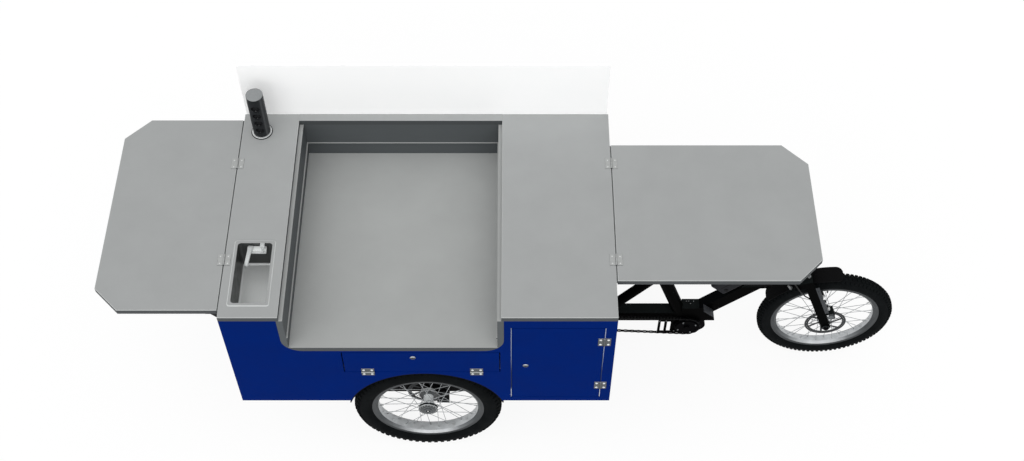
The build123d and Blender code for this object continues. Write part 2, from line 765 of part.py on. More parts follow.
with BuildPart() as door_lock:
    lock(door_lock_x, door_lock_z)
    with BuildSketch(at_y(barrel_end)):
        belt(
            door_lock_x, door_lock_z, LOCK_BARREL_RADIUS,
            door_lock_x, door_lock_z + DOOR_CAM_LENGTH - LOCK_CAM_WIDTH / 2, LOCK_CAM_WIDTH / 2,
        )
    extrude(amount=-LOCK_CAM)
keep(door_lock, "door_lock")

with BuildPart() as flap_lock:
    lock(flap_lock_x, flap_lock_z)
    with BuildSketch(at_y(barrel_end)):
        belt(
            flap_lock_x, flap_lock_z, LOCK_BARREL_RADIUS,
            flap_lock_x + FLAP_CAM_LENGTH - LOCK_CAM_WIDTH / 2, flap_lock_z, LOCK_CAM_WIDTH / 2,
        )
    extrude(amount=-LOCK_CAM)
keep(flap_lock, "flap_lock")

# Sink let into the rear slab, with its drain and the tap on its far wall
tap_x0 = sink_x0 + TAP_OFFSET
tap_x1 = tap_x0 + TAP_LENGTH
tap_y1 = sink_y1 - TAP_WALL_GAP
tap_y = tap_y1 - TAP_DEPTH / 2
tap_top = top - TAP_DROP
tap_bottom = tap_top - TAP_HEIGHT
inlet_x = (tap_x0 + tap_x1) / 2
inlet_z = tap_bottom + TAP_INLET_RADIUS + PART_CLEARANCE
inlet_end = sink_y1 + SINK_SHEET + TAP_INLET_LENGTH

with BuildPart() as bowl_space:
    with BuildSketch(Plane.XY.offset(sink_floor)):
        sink_outline(0)
    extrude(amount=SINK_DEPTH + SINK_RIM_HEIGHT)
    fillet(bowl_space.edges().group_by(Axis.Z)[0], SINK_FLOOR_ROUND)

with BuildPart() as sink:
    with BuildSketch(Plane.XY.offset(sink_floor - SINK_SHEET)):
        sink_outline(SINK_SHEET)
    extrude(amount=SINK_DEPTH + SINK_SHEET)
    fillet(sink.edges().group_by(Axis.Z)[0], SINK_FLOOR_ROUND + SINK_SHEET)
    with BuildSketch(Plane.XY.offset(top)):
        sink_outline(SINK_RIM)
    extrude(amount=SINK_RIM_HEIGHT)
    add(bowl_space.part, mode=Mode.SUBTRACT)
    with BuildSketch(Plane.XY.offset(sink_floor - DRAIN_TAIL)):
        disc(sink_x, drain_y, DRAIN_RADIUS + DRAIN_WALL)
    extrude(amount=DRAIN_TAIL)
    with BuildSketch(Plane.XY.offset(sink_floor - DRAIN_TAIL)):
        disc(sink_x, drain_y, DRAIN_RADIUS)
    extrude(amount=DRAIN_TAIL, mode=Mode.SUBTRACT)
    rod(
        (inlet_x, tap_y1, inlet_z), (inlet_x, inlet_end, inlet_z), TAP_INLET_RADIUS + RUNNING_CLEARANCE,
        Mode.SUBTRACT,
    )
keep(sink, "sink")

spout_x = tap_x0 + TAP_END_MARGIN
lever_x = tap_x1 - TAP_END_MARGIN
stem_bottom = tap_top - TAP_STEM_LENGTH
seat_top = tap_top + PART_CLEARANCE
with BuildPart() as tap_body:
    block(tap_x0, tap_x1, tap_y1 - TAP_DEPTH, tap_y1, tap_bottom, tap_top)
    fillet(tap_body.edges().filter_by(Axis.Z), TAP_ROUND)
    rod((inlet_x, tap_y, inlet_z), (inlet_x, inlet_end, inlet_z), TAP_INLET_RADIUS)
    for x in (spout_x, lever_x):
        rod((x, tap_y, stem_bottom - PART_CLEARANCE), (x, tap_y, tap_top),
            TAP_STEM_RADIUS + RUNNING_CLEARANCE, Mode.SUBTRACT)
keep(tap_body, "tap_body")

spout_z = seat_top + SPOUT_COLLAR - SPOUT_RADIUS
with BuildPart() as tap_spout:
    rod((spout_x, tap_y, stem_bottom), (spout_x, tap_y, seat_top), TAP_STEM_RADIUS)
    rod((spout_x, tap_y, seat_top), (spout_x, tap_y, seat_top + SPOUT_COLLAR), SPOUT_COLLAR_RADIUS)
    rod(
        (spout_x, tap_y, spout_z),
        (spout_x - SPOUT_SIDE, tap_y - SPOUT_LENGTH, spout_z - SPOUT_FALL),
        SPOUT_RADIUS,
    )
keep(tap_spout, "tap_spout")

with BuildPart() as tap_lever:
    rod((lever_x, tap_y, stem_bottom), (lever_x, tap_y, seat_top), TAP_STEM_RADIUS)
    rod((lever_x, tap_y, seat_top), (lever_x, tap_y, seat_top + LEVER_HEIGHT), LEVER_RADIUS)
    block(
        lever_x - LEVER_WIDTH / 2, lever_x + LEVER_WIDTH / 2, tap_y - LEVER_LENGTH, tap_y,
        seat_top + LEVER_HEIGHT - LEVER_THICKNESS, seat_top + LEVER_HEIGHT,
    )
keep(tap_lever, "tap_lever")

# Socket tower rising through its collar in the rear slab
tower_top = top + TOWER_HEIGHT
tower_bottom = top - TOWER_FOOT
with BuildPart() as socket_tower:
    rod((tower_x, tower_y, tower_bottom), (tower_x, tower_y, tower_top), TOWER_RADIUS)
    fillet(socket_tower.edges().group_by(Axis.Z)[-1], EDGE_ROUND)
    rod(
        (tower_x, tower_y, tower_bottom), (tower_x, tower_y, tower_top - TOWER_CROWN), TOWER_BORE,
        Mode.SUBTRACT,
    )
    for index in range(SOCKET_COUNT):
        z = top + SOCKET_FIRST + index * SOCKET_PITCH
        rod(
            (tower_x, tower_y - TOWER_RADIUS, z), (tower_x, tower_y - TOWER_RADIUS + SOCKET_DEPTH, z),
            SOCKET_RADIUS, Mode.SUBTRACT,
        )
keep(socket_tower, "socket_tower")

with BuildPart() as tower_collar:
    rod((tower_x, tower_y, top), (tower_x, tower_y, top + COLLAR_HEIGHT), COLLAR_RADIUS)
    rod((tower_x, tower_y, top - SLEEVE_LENGTH), (tower_x, tower_y, top), sleeve_outer)
    rod(
        (tower_x, tower_y, top - SLEEVE_LENGTH), (tower_x, tower_y, top + COLLAR_HEIGHT), sleeve_inner,
        Mode.SUBTRACT,
    )
    fillet(tower_collar.edges().group_by(Axis.Z)[-1].sort_by(SortBy.LENGTH)[-1], EDGE_ROUND)
keep(tower_collar, "tower_collar")

# Water canisters on the floor under the sink
tank_x0 = box_rear + PANEL + TANK_INSET
with BuildPart() as water_tanks:
    for y in (-TANK_SPREAD / 2, TANK_SPREAD / 2):
        block(tank_x0, tank_x0 + TANK_LENGTH, y - TANK_WIDTH / 2, y + TANK_WIDTH / 2,
              floor_top, floor_top + TANK_HEIGHT)
    fillet(water_tanks.edges().filter_by(Axis.Z), TANK_ROUND)
    fillet(water_tanks.edges().group_by(Axis.Z)[-1], TANK_ROUND / 2)
    for y in (-TANK_SPREAD / 2, TANK_SPREAD / 2):
        centre = tank_x0 + TANK_LENGTH / 2
        rod((centre, y, floor_top + TANK_HEIGHT), (centre, y, floor_top + TANK_HEIGHT + TANK_CAP),
            TANK_CAP_RADIUS)
keep(water_tanks, "water_tanks")

# Chassis: two rails, cross beams under the box floor, stub axle, shaft plate and bearing
tube_top = TUBE_BOTTOM + TUBE_HEIGHT
rail_x0 = box_rear + RAIL_REAR_INSET
rail_x1 = box_front - RAIL_FRONT_INSET
wheel_y = WORKTOP_DEPTH / 2 - REAR_WHEEL_INSET
rail_y = wheel_y - RAIL_INSET
rail_inner = rail_y - RAIL_WIDTH / 2
rail_outer = rail_y + RAIL_WIDTH / 2
beam_reach = WORKTOP_DEPTH / 2 - BEAM_INSET
hub_end = wheel_y + REAR_HUB_OUTER
cap_start = hub_end + AXLE_CAP_CLEARANCE
shaft_bore = REAR_AXLE_RADIUS + RUNNING_CLEARANCE


def on_axle(y):
    """Point on the rear wheels' axis."""
    return Vector(rear_axle.X, y, rear_axle.Z)


def box_tube(plane, length, a0, a1, b0, b1):
    """Square tube of the current part, open at both ends."""
    with BuildSketch(plane) as section:
        rect(a0, a1, b0, b1)
        rect(a0 + TUBE_WALL, a1 - TUBE_WALL, b0 + TUBE_WALL, b1 - TUBE_WALL, Mode.SUBTRACT)
    extrude(section.sketch, amount=length)


def at_x(x):
    """Upright plane across the bike: sketch X along +Y, sketch Y up; an extrude runs towards +X."""
    return Plane(origin=(x, 0, 0), x_dir=(0, 1, 0), z_dir=(1, 0, 0))


with BuildPart() as chassis_rails:
    for y in (-rail_y, rail_y):
        box_tube(at_x(rail_x0), rail_x1 - rail_x0, y - RAIL_WIDTH / 2, y + RAIL_WIDTH / 2,
                 TUBE_BOTTOM, tube_top)
    rod(on_axle(-rail_outer), on_axle(-cap_start), REAR_AXLE_RADIUS)
    rod(on_axle(-cap_start), on_axle(-cap_start - AXLE_CAP), AXLE_CAP_RADIUS)
    rod(on_axle(rail_inner), on_axle(rail_inner - BEARING_WIDTH), BEARING_RADIUS)
    rod(on_axle(rail_inner - BEARING_WIDTH), on_axle(rail_outer), shaft_bore, Mode.SUBTRACT)
keep(chassis_rails, "chassis_rails")

axle_beam = box_rear + AXLE_BEAM_OFFSET
with BuildPart() as chassis_beams:
    for offset in BEAM_OFFSETS:
        x = box_rear + offset
        box_tube(at_y(beam_reach), 2 * beam_reach, x, x + BEAM_WIDTH, tube_top, PANEL_BOTTOM)
    box_tube(at_y(rail_outer), 2 * rail_outer, axle_beam, axle_beam + BEAM_WIDTH, tube_top, PANEL_BOTTOM)
    with BuildSketch(at_y(SHAFT_PLATE_Y)):
        rect(axle_beam + BEAM_WIDTH, rear_axle.X + SHAFT_PLATE_MARGIN, tube_top, PANEL_BOTTOM)
        rect(rear_axle.X - SHAFT_PLATE_MARGIN, rear_axle.X + SHAFT_PLATE_MARGIN, rear_axle.Z, tube_top)
        disc(rear_axle.X, rear_axle.Z, SHAFT_PLATE_MARGIN)
        disc(rear_axle.X, rear_axle.Z, shaft_bore, Mode.SUBTRACT)
    extrude(amount=-SHAFT_PLATE)
keep(chassis_beams, "chassis_beams")

# Motor drive: both sprockets, the chain round them and the far wheel's shaft
rear_pitch = CHAIN_PITCH / (2 * sin(pi / REAR_TEETH))
motor_pitch = CHAIN_PITCH / (2 * sin(pi / MOTOR_TEETH))
motor_x = box_front + MOTOR_REACH


def sprocket(x, z, pitch_radius, teeth):
    """Toothed disc of the current part, in the chain's plane."""
    with BuildSketch(at_y(CHAIN_Y - SPROCKET / 2)) as face:
        disc(x, z, pitch_radius - TOOTH_CLEARANCE)
        with Locations((x, z)):
            with PolarLocations(pitch_radius, teeth):
                Circle(ROLLER_RADIUS, mode=Mode.SUBTRACT)
    extrude(face.sketch, amount=-SPROCKET)


with BuildPart() as drive_shaft:
    rod(on_axle(CHAIN_Y - SHAFT_NEAR_END), on_axle(cap_start), REAR_AXLE_RADIUS)
    rod(on_axle(cap_start), on_axle(cap_start + AXLE_CAP), AXLE_CAP_RADIUS)
    sprocket(rear_axle.X, rear_axle.Z, rear_pitch, REAR_TEETH)
keep(drive_shaft, "drive_shaft")

with BuildPart() as chain:
    with BuildSketch(at_y(CHAIN_Y - CHAIN_WIDTH / 2)):
        belt(
            rear_axle.X, rear_axle.Z, rear_pitch + CHAIN_OUTER,
            motor_x, MOTOR_HEIGHT, motor_pitch + CHAIN_OUTER,
        )
        belt(
            rear_axle.X, rear_axle.Z, rear_pitch - CHAIN_INNER,
            motor_x, MOTOR_HEIGHT, motor_pitch - CHAIN_INNER, Mode.SUBTRACT,
        )
    extrude(amount=-CHAIN_WIDTH)
keep(chain, "chain")

with BuildPart() as motor_sprocket:
    sprocket(motor_x, MOTOR_HEIGHT, motor_pitch, MOTOR_TEETH)
    spider_face = CHAIN_Y - SPROCKET / 2
    rod(
        (motor_x, spider_face - SPIDER, MOTOR_HEIGHT), (motor_x, spider_face, MOTOR_HEIGHT), SPIDER_RADIUS,
    )
    rod(
        (motor_x, CHAIN_Y - MOTOR_SHAFT_END, MOTOR_HEIGHT),
        (motor_x, MOTOR_NEAR + MOTOR_SHAFT_DEPTH - PART_CLEARANCE, MOTOR_HEIGHT),
        MOTOR_SHAFT_RADIUS,
    )
keep(motor_sprocket, "motor_sprocket")

motor_body_x = motor_x - MOTOR_BODY_BACK
motor_body_z = MOTOR_HEIGHT - MOTOR_BODY_DROP
motor_nose_x = motor_x + MOTOR_NOSE_REACH
motor_nose_z = MOTOR_HEIGHT - MOTOR_NOSE_DROP
with BuildPart() as motor:
    with BuildSketch(at_y(MOTOR_NEAR)):
        belt(motor_body_x, motor_body_z, MOTOR_BODY_RADIUS, motor_nose_x, motor_nose_z, MOTOR_NOSE_RADIUS)
    extrude(amount=MOTOR_NEAR - MOTOR_FAR)
    fillet(motor.edges().group_by(Axis.Y)[-1], BATTERY_ROUND)
    rod(
        (motor_x, MOTOR_NEAR, MOTOR_HEIGHT), (motor_x, MOTOR_NEAR + MOTOR_SHAFT_DEPTH, MOTOR_HEIGHT),
        MOTOR_SHAFT_RADIUS + RUNNING_CLEARANCE, Mode.SUBTRACT,
    )
keep(motor, "motor")

# Wheels: a has its zero in the wheel's middle plane and grows along the given side
rim_inner = RIM_SEAT_RADIUS - RIM_DEPTH


def wheel(prefix, centre, side, tyre_radius, tyre_width, rim_width, flanges, flange_radius,
          hub_ends, hub_radius, bore, disc_inner):
    """Tyre, rim, spokes and hub with its brake disc, each written as a piece of its own."""
    profile = Plane(origin=centre, x_dir=(0, side, 0), z_dir=(side, 0, 0))
    spin = Axis(centre, (0, 1, 0))
    flange_face = rim_width / 2 - RIM_WALL
    crown = (tyre_radius - RIM_SEAT_RADIUS) / 2
    middle = RIM_SEAT_RADIUS + crown
    bead_outer = flange_face - BEAD_CLEARANCE
    bead_foot = RIM_SEAT_RADIUS + BEAD_CLEARANCE

    with BuildPart() as tyre:
        with BuildSketch(profile):
            with Locations((0, middle)):
                Ellipse(tyre_width / 2, crown)
            for sign in (-1, 1):
                rect(*sorted((sign * bead_outer, sign * (bead_outer - BEAD_WIDTH))), bead_foot,
                     bead_foot + BEAD_HEIGHT)
            with Locations((0, middle)):
                Ellipse(tyre_width / 2 - TYRE_WALL, crown - TYRE_WALL, mode=Mode.SUBTRACT)
            rect(BEAD_WIDTH - bead_outer, bead_outer - BEAD_WIDTH, rim_inner, middle, Mode.SUBTRACT)
            for sign in (-1, 1):
                rect(*sorted((sign * bead_outer, sign * tyre_width)), rim_inner,
                     RIM_SEAT_RADIUS + RIM_FLANGE + BEAD_CLEARANCE, Mode.SUBTRACT)
        revolve(axis=spin)
    keep(tyre, f"{prefix}_tyre")

    with BuildPart() as rim:
        half = rim_width / 2
        edge = RIM_SEAT_RADIUS + RIM_FLANGE
        waist = rim_inner + RIM_SHOULDER
        with BuildSketch(profile):
            Polygon(
                (RIM_SHOULDER - half, rim_inner), (half - RIM_SHOULDER, rim_inner), (half, waist),
                (half, edge), (-half, edge), (-half, waist),
                align=None,
            )
            rect(-flange_face, flange_face, RIM_SEAT_RADIUS, edge, Mode.SUBTRACT)
            rect(2 * RIM_SHOULDER - half, half - 2 * RIM_SHOULDER, rim_inner + RIM_BED, RIM_SEAT_RADIUS,
                 Mode.SUBTRACT)
        revolve(axis=spin)
    keep(rim, f"{prefix}_rim")

    seat = flange_radius - SPOKE_SEAT_INSET
    pitch = 360 / SPOKES_PER_FACE
    lanes = []
    for index, flange in enumerate(flanges):
        out = 1 if flange > 0 else -1
        face = FLANGE / 2 + SPOKE_RADIUS + SPOKE_FLANGE_GAP
        start = index * pitch / 4
        lanes.append((flange + out * face, out * SPOKE_RIM_OUTER, start, SPOKE_LEAN))
        lanes.append((flange - out * face, out * SPOKE_RIM_INNER, start + pitch / 2, -SPOKE_LEAN))
    laid = []
    lengths = []
    for a0, a1, start, lean in lanes:
        for index in range(SPOKES_PER_FACE):
            hub_turn = radians(start + index * pitch)
            rim_turn = hub_turn + radians(lean)
            foot = centre + Vector(seat * cos(hub_turn), side * a0, seat * sin(hub_turn))
            reach = rim_inner - SPOKE_RIM_GAP
            head = centre + Vector(reach * cos(rim_turn), side * a1, reach * sin(rim_turn))
            laid.append(Plane(origin=foot, z_dir=head - foot))
            lengths.append((head - foot).length)
    with BuildPart() as spokes:
        for length in sorted(set(round(value, 3) for value in lengths)):
            same = [place for place, value in zip(laid, lengths) if round(value, 3) == length]
            with Locations(*same):
                Cylinder(SPOKE_RADIUS, length, align=(Align.CENTER, Align.CENTER, Align.MIN))
    keep(spokes, f"{prefix}_spokes")

    disc_face = disc_inner - DISC / 2
    with BuildPart() as hub:
        with BuildSketch(profile):
            rect(-hub_ends[0], hub_ends[1], bore, hub_radius)
            for flange in flanges:
                rect(flange - FLANGE / 2, flange + FLANGE / 2, bore, flange_radius)
            rect(-disc_face, DISC_SEAT - disc_face, bore, DISC_CENTRE_RADIUS)
        revolve(axis=spin)
        across = Plane(origin=centre + Vector(0, -side * disc_face, 0), x_dir=(1, 0, 0), z_dir=(0, -side, 0))
        with BuildSketch(across):
            Circle(DISC_RADIUS)
            Circle(DISC_RADIUS - DISC_RING, mode=Mode.SUBTRACT)
            with PolarLocations(DISC_RADIUS / 2, DISC_ARMS):
                Rectangle(DISC_RADIUS - DISC_RING, DISC_ARM)
            Circle(DISC_CENTRE_RADIUS)
            Circle(hub_radius, mode=Mode.SUBTRACT)
        extrude(amount=DISC)
    keep(hub, f"{prefix}_hub")


rear_flanges = (REAR_FLANGE_OUTER, -REAR_FLANGE_INNER)
rear_hub_ends = (REAR_HUB_INNER, REAR_HUB_OUTER)
for prefix, side in (("right", -1), ("left", 1)):
    wheel(prefix, on_axle(side * wheel_y), side, REAR_TYRE_RADIUS, REAR_TYRE_WIDTH, REAR_RIM_WIDTH,
          rear_flanges, REAR_FLANGE_RADIUS, rear_hub_ends, REAR_HUB_RADIUS, shaft_bore, REAR_DISC_INNER)
wheel("front", front_axle, 1, FRONT_TYRE_RADIUS, FRONT_TYRE_WIDTH, FRONT_RIM_WIDTH,
      (FRONT_FLANGE, -FRONT_FLANGE), FRONT_FLANGE_RADIUS, (FRONT_HUB_HALF, FRONT_HUB_HALF),
      FRONT_HUB_RADIUS, FRONT_AXLE_RADIUS + RUNNING_CLEARANCE, FRONT_DISC_INNER)

caliper_x = rear_axle.X + DISC_RADIUS - CALIPER_INSET
caliper_bottom = rear_axle.Z - DISC_RADIUS + CALIPER_FOOT
disc_y = wheel_y - REAR_DISC_INNER
caliper_outer = disc_y + CALIPER_SLOT / 2 + CALIPER_SLOT
with BuildPart() as rear_calipers:
    for side in (-1, 1):
        y0, y1 = sorted((side * rail_outer, side * caliper_outer))
        block(caliper_x, caliper_x + CALIPER_LENGTH, y0, y1, caliper_bottom, TUBE_BOTTOM + CALIPER_HEIGHT)
        rod(
            on_axle(side * (disc_y - CALIPER_SLOT / 2)), on_axle(side * (disc_y + CALIPER_SLOT / 2)),
            DISC_RADIUS + CALIPER_SLOT / 2, Mode.SUBTRACT,
        )
keep(rear_calipers, "rear_calipers")

# Steering plane: X forward across the steering axis, Z up along it, origin level with the front axle
lean = radians(HEAD_LEAN)
across_axis = Vector(cos(lean), 0, sin(lean))
along_axis = Vector(-sin(lean), 0, cos(lean))
steer = Plane(origin=front_axle - across_axis * FORK_OFFSET, x_dir=across_axis, z_dir=along_axis)
crown_top = CROWN_BOTTOM + CROWN
head_bottom = crown_top + RACE + RACE_CLEARANCE
head_top = head_bottom + HEAD_TUBE_LENGTH
collar_bottom = head_top + RACE_CLEARANCE
steerer_top = collar_bottom + RACE + STEM_COLLAR
stem_top = steerer_top + STEM_RISE


def steered(a, y, b):
    """Point at a ahead of the steering axis and b along it."""
    return steer.origin + across_axis * a + Vector(0, y, 0) + along_axis * b


def fork_side(y):
    """Plane beside the fork: sketch X ahead of the axis, Y along it."""
    return Plane(origin=steered(0, y, 0), x_dir=across_axis, z_dir=(0, -1, 0))


# Bicycle frame: main tube, gusset box, seat tube, stay, down tube, head tube and motor plate
main_tail = box_front - MAIN_TUBE_TAIL
main_tip = box_front + MAIN_TUBE_REACH
seat_lean = radians(SEAT_TUBE_LEAN)
seat_up = Vector(-sin(seat_lean), 0, cos(seat_lean))
seat_foot = Vector(box_front + SEAT_TUBE_FOOT, 0, tube_top)
seat_tube_top = seat_foot + seat_up * (SEAT_TUBE_RISE / cos(seat_lean))
stay_foot = Vector(box_front + STAY_FOOT, 0, tube_top)
stay_join = seat_foot + seat_up * (STAY_RISE / cos(seat_lean))
down_foot = Vector(box_front + DOWN_TUBE_FOOT, 0, tube_top + DOWN_TUBE_RISE)
head_middle = steered(0, 0, (head_bottom + head_top) / 2)
down_length = (head_middle - down_foot).length
down_dir = (head_middle - down_foot).normalized()
plate_front = motor_x
plate_rear = plate_front - MOTOR_PLATE_REAR
plate_bottom = TUBE_BOTTOM - MOTOR_PLATE_DROP


def down_side(y):
    """Plane beside the down tube: sketch X along it, Y off its upper face."""
    return Plane(origin=down_foot + Vector(0, y, 0), x_dir=down_dir, z_dir=(0, -1, 0))


with BuildPart() as bike_frame:
    with BuildSketch(at_y(-TUBE_WIDTH / 2)):
        Polygon(
            (main_tail, TUBE_BOTTOM), (main_tip, TUBE_BOTTOM), (main_tip - MAIN_TUBE_MITRE, tube_top),
            (main_tail, tube_top),
            align=None,
        )
        rect(box_front + GUSSET_REACH, box_front + GUSSET_REACH + GUSSET_LENGTH, tube_top,
             tube_top + GUSSET_HEIGHT)
    extrude(amount=-TUBE_WIDTH)
    block(
        main_tail, main_tip - MAIN_TUBE_MITRE - TUBE_HEIGHT, TUBE_WALL - TUBE_WIDTH / 2,
        TUBE_WIDTH / 2 - TUBE_WALL, TUBE_BOTTOM + TUBE_WALL, tube_top - TUBE_WALL, Mode.SUBTRACT,
    )
    with BuildSketch(down_side(-TUBE_WIDTH / 2)):
        rect(-DOWN_TUBE_START, down_length, -TUBE_HEIGHT / 2, TUBE_HEIGHT / 2)
    extrude(amount=-TUBE_WIDTH)
    with BuildSketch(down_side(-BATTERY_RAIL_WIDTH / 2)):
        rect(BATTERY_START + BATTERY_RAIL_INSET, BATTERY_START + BATTERY_LENGTH - BATTERY_RAIL_INSET,
             TUBE_HEIGHT / 2, TUBE_HEIGHT / 2 + BATTERY_RAIL)
    extrude(amount=-BATTERY_RAIL_WIDTH)
    rod(steered(0, 0, head_bottom), steered(0, 0, head_top), HEAD_TUBE_RADIUS)
    rod(
        steered(0, 0, head_bottom), steered(0, 0, head_top), STEERER_RADIUS + RUNNING_CLEARANCE,
        Mode.SUBTRACT,
    )
    rod(seat_foot - seat_up * STAY_RADIUS, seat_tube_top, SEAT_TUBE_RADIUS)
    rod(stay_foot - (stay_join - stay_foot).normalized() * STAY_RADIUS, stay_join, STAY_RADIUS)
    bore_foot = seat_tube_top - seat_up * (SEAT_POST_DEPTH + SEAT_POST_TRAVEL)
    rod(bore_foot, seat_tube_top, SEAT_POST_RADIUS + RUNNING_CLEARANCE, Mode.SUBTRACT)
    with BuildSketch(at_y(MOTOR_NEAR - MOTOR_PLATE)):
        rect(plate_rear, plate_front, plate_bottom, TUBE_BOTTOM)
        for index in range(MOTOR_PLATE_WINDOWS):
            x0 = plate_rear + MOTOR_PLATE_BAR + index * (MOTOR_PLATE_BAR + MOTOR_PLATE_WINDOW)
            rect(x0, x0 + MOTOR_PLATE_WINDOW, plate_bottom + MOTOR_PLATE_BAR, TUBE_BOTTOM - MOTOR_PLATE_BAR,
                 Mode.SUBTRACT)
        disc(motor_x, MOTOR_HEIGHT, MOTOR_SHAFT_RADIUS + PART_CLEARANCE, Mode.SUBTRACT)
    extrude(amount=-MOTOR_PLATE)
keep(bike_frame, "bike_frame")

battery_foot = TUBE_HEIGHT / 2 + BATTERY_RAIL
with BuildPart() as battery:
    with BuildSketch(down_side(-BATTERY_WIDTH / 2)):
        rect(BATTERY_START, BATTERY_START + BATTERY_LENGTH, battery_foot, battery_foot + BATTERY_THICKNESS)
    extrude(amount=-BATTERY_WIDTH)
    fillet(battery.edges(), BATTERY_ROUND)
keep(battery, "battery")

# Seat post and saddle
post_foot = seat_tube_top - seat_up * SEAT_POST_DEPTH
post_top = post_foot + seat_up * SEAT_POST_LENGTH
with BuildPart() as seat_post:
    rod(post_foot, post_top, SEAT_POST_RADIUS)
keep(seat_post, "seat_post")

saddle_tail = post_top.X - SADDLE_TAIL + SADDLE_TAIL_RADIUS
saddle_nose = post_top.X - SADDLE_TAIL + SADDLE_LENGTH - SADDLE_NOSE_RADIUS
with BuildPart() as saddle:
    with BuildSketch(Plane.XY.offset(post_top.Z)):
        for side in (-1, 1):
            belt(
                saddle_tail, side * SADDLE_TAIL_SPREAD, SADDLE_TAIL_RADIUS,
                saddle_nose, 0, SADDLE_NOSE_RADIUS,
            )
        belt(
            saddle_tail, -SADDLE_TAIL_SPREAD, SADDLE_TAIL_RADIUS,
            saddle_tail, SADDLE_TAIL_SPREAD, SADDLE_TAIL_RADIUS,
        )
    extrude(amount=SADDLE_HEIGHT)
    fillet(saddle.edges().group_by(Axis.Z)[-1], SADDLE_CROWN)
    fillet(saddle.edges().group_by(Axis.Z)[0], SADDLE_BASE_ROUND)
    rod(post_foot, post_top + seat_up * SEAT_POST_RADIUS, SEAT_POST_RADIUS, Mode.SUBTRACT)
keep(saddle, "saddle")

# Fork with its axle, crown race, steerer and the brake caliper ahead of its right blade
blade_outer = BLADE_INNER + BLADE
blade_front = FORK_OFFSET + BLADE_WIDTH / 2
caliper_a = blade_front + PART_CLEARANCE
caliper_middle = caliper_a + FRONT_CALIPER_LENGTH / 2
caliper_b = DISC_RADIUS * cos(asin((caliper_middle - FORK_OFFSET) / DISC_RADIUS))
caliper_foot = caliper_b - FRONT_CALIPER_HEIGHT / 2
caliper_head = caliper_b + FRONT_CALIPER_HEIGHT / 2
lug_inner = -FRONT_DISC_INNER - CALIPER_SLOT / 2 - CALIPER_SLOT
caliper_inner = -FRONT_DISC_INNER + CALIPER_SLOT / 2 + CALIPER_SLOT
with BuildPart() as fork:
    for y in (-blade_outer, BLADE_INNER):
        with BuildSketch(fork_side(y)):
            rect(FORK_OFFSET - BLADE_WIDTH / 2, blade_front, 0, crown_top)
            disc(FORK_OFFSET, 0, BLADE_WIDTH / 2)
        extrude(amount=-BLADE)
    with BuildSketch(fork_side(-blade_outer)):
        rect(-HEAD_TUBE_RADIUS, blade_front, CROWN_BOTTOM, crown_top)
    extrude(amount=-2 * blade_outer)
    with BuildSketch(fork_side(-blade_outer)):
        rect(blade_front, blade_front + LUG_LENGTH, caliper_foot, caliper_head)
    extrude(amount=-(lug_inner + blade_outer))
    rod(steered(0, 0, crown_top), steered(0, 0, crown_top + RACE), RACE_RADIUS)
    rod(steered(0, 0, crown_top), steered(0, 0, steerer_top), STEERER_RADIUS)
    axle_end = blade_outer + AXLE_NUT
    rod(steered(FORK_OFFSET, -axle_end, 0), steered(FORK_OFFSET, axle_end, 0), FRONT_AXLE_RADIUS)
    for side in (-1, 1):
        rod(
            steered(FORK_OFFSET, side * blade_outer, 0), steered(FORK_OFFSET, side * axle_end, 0),
            AXLE_NUT_RADIUS,
        )
    with BuildSketch(fork_side(lug_inner)):
        rect(caliper_a, caliper_a + FRONT_CALIPER_LENGTH, caliper_foot, caliper_head)
    extrude(amount=lug_inner - caliper_inner)
    rod(
        steered(FORK_OFFSET, -FRONT_DISC_INNER - CALIPER_SLOT / 2, 0),
        steered(FORK_OFFSET, -FRONT_DISC_INNER + CALIPER_SLOT / 2, 0),
        DISC_RADIUS + CALIPER_SLOT / 2, Mode.SUBTRACT,
    )
    rod(steered(FORK_OFFSET, -BLADE_INNER, 0), steered(FORK_OFFSET, BLADE_INNER, 0), FRONT_AXLE_RADIUS)
keep(fork, "fork")

# Mudguard: a bent strip over the front tyre, hung from the crown by a post
guard_outer = GUARD_RADIUS + GUARD
with BuildPart() as mudguard:
    front_edge = radians(GUARD_FRONT)
    outwards = Vector(cos(front_edge), 0, sin(front_edge))
    with BuildSketch(Plane(origin=front_axle, x_dir=outwards, z_dir=outwards.cross(Vector(0, 1, 0)))):
        rect(GUARD_RADIUS, guard_outer, -GUARD_WIDTH / 2, GUARD_WIDTH / 2)
    revolve(axis=Axis(front_axle, (0, -1, 0)), revolution_arc=GUARD_REAR - GUARD_FRONT)
    corners = mudguard.edges().filter_by(GeomType.LINE)
    corners = corners.filter_by(lambda edge: abs(edge.length - GUARD) < PART_CLEARANCE)
    fillet(corners, GUARD_CORNER)
    with BuildSketch(Plane(origin=steered(0, 0, CROWN_BOTTOM), x_dir=across_axis, z_dir=-along_axis)):
        Rectangle(GUARD_POST_WIDTH, GUARD_POST_WIDTH)
    extrude(amount=CROWN)
    with BuildSketch(at_y(-GUARD_POST_WIDTH)):
        disc(front_axle.X, front_axle.Z, GUARD_RADIUS)
    extrude(amount=-2 * GUARD_POST_WIDTH, mode=Mode.SUBTRACT)
keep(mudguard, "mudguard")

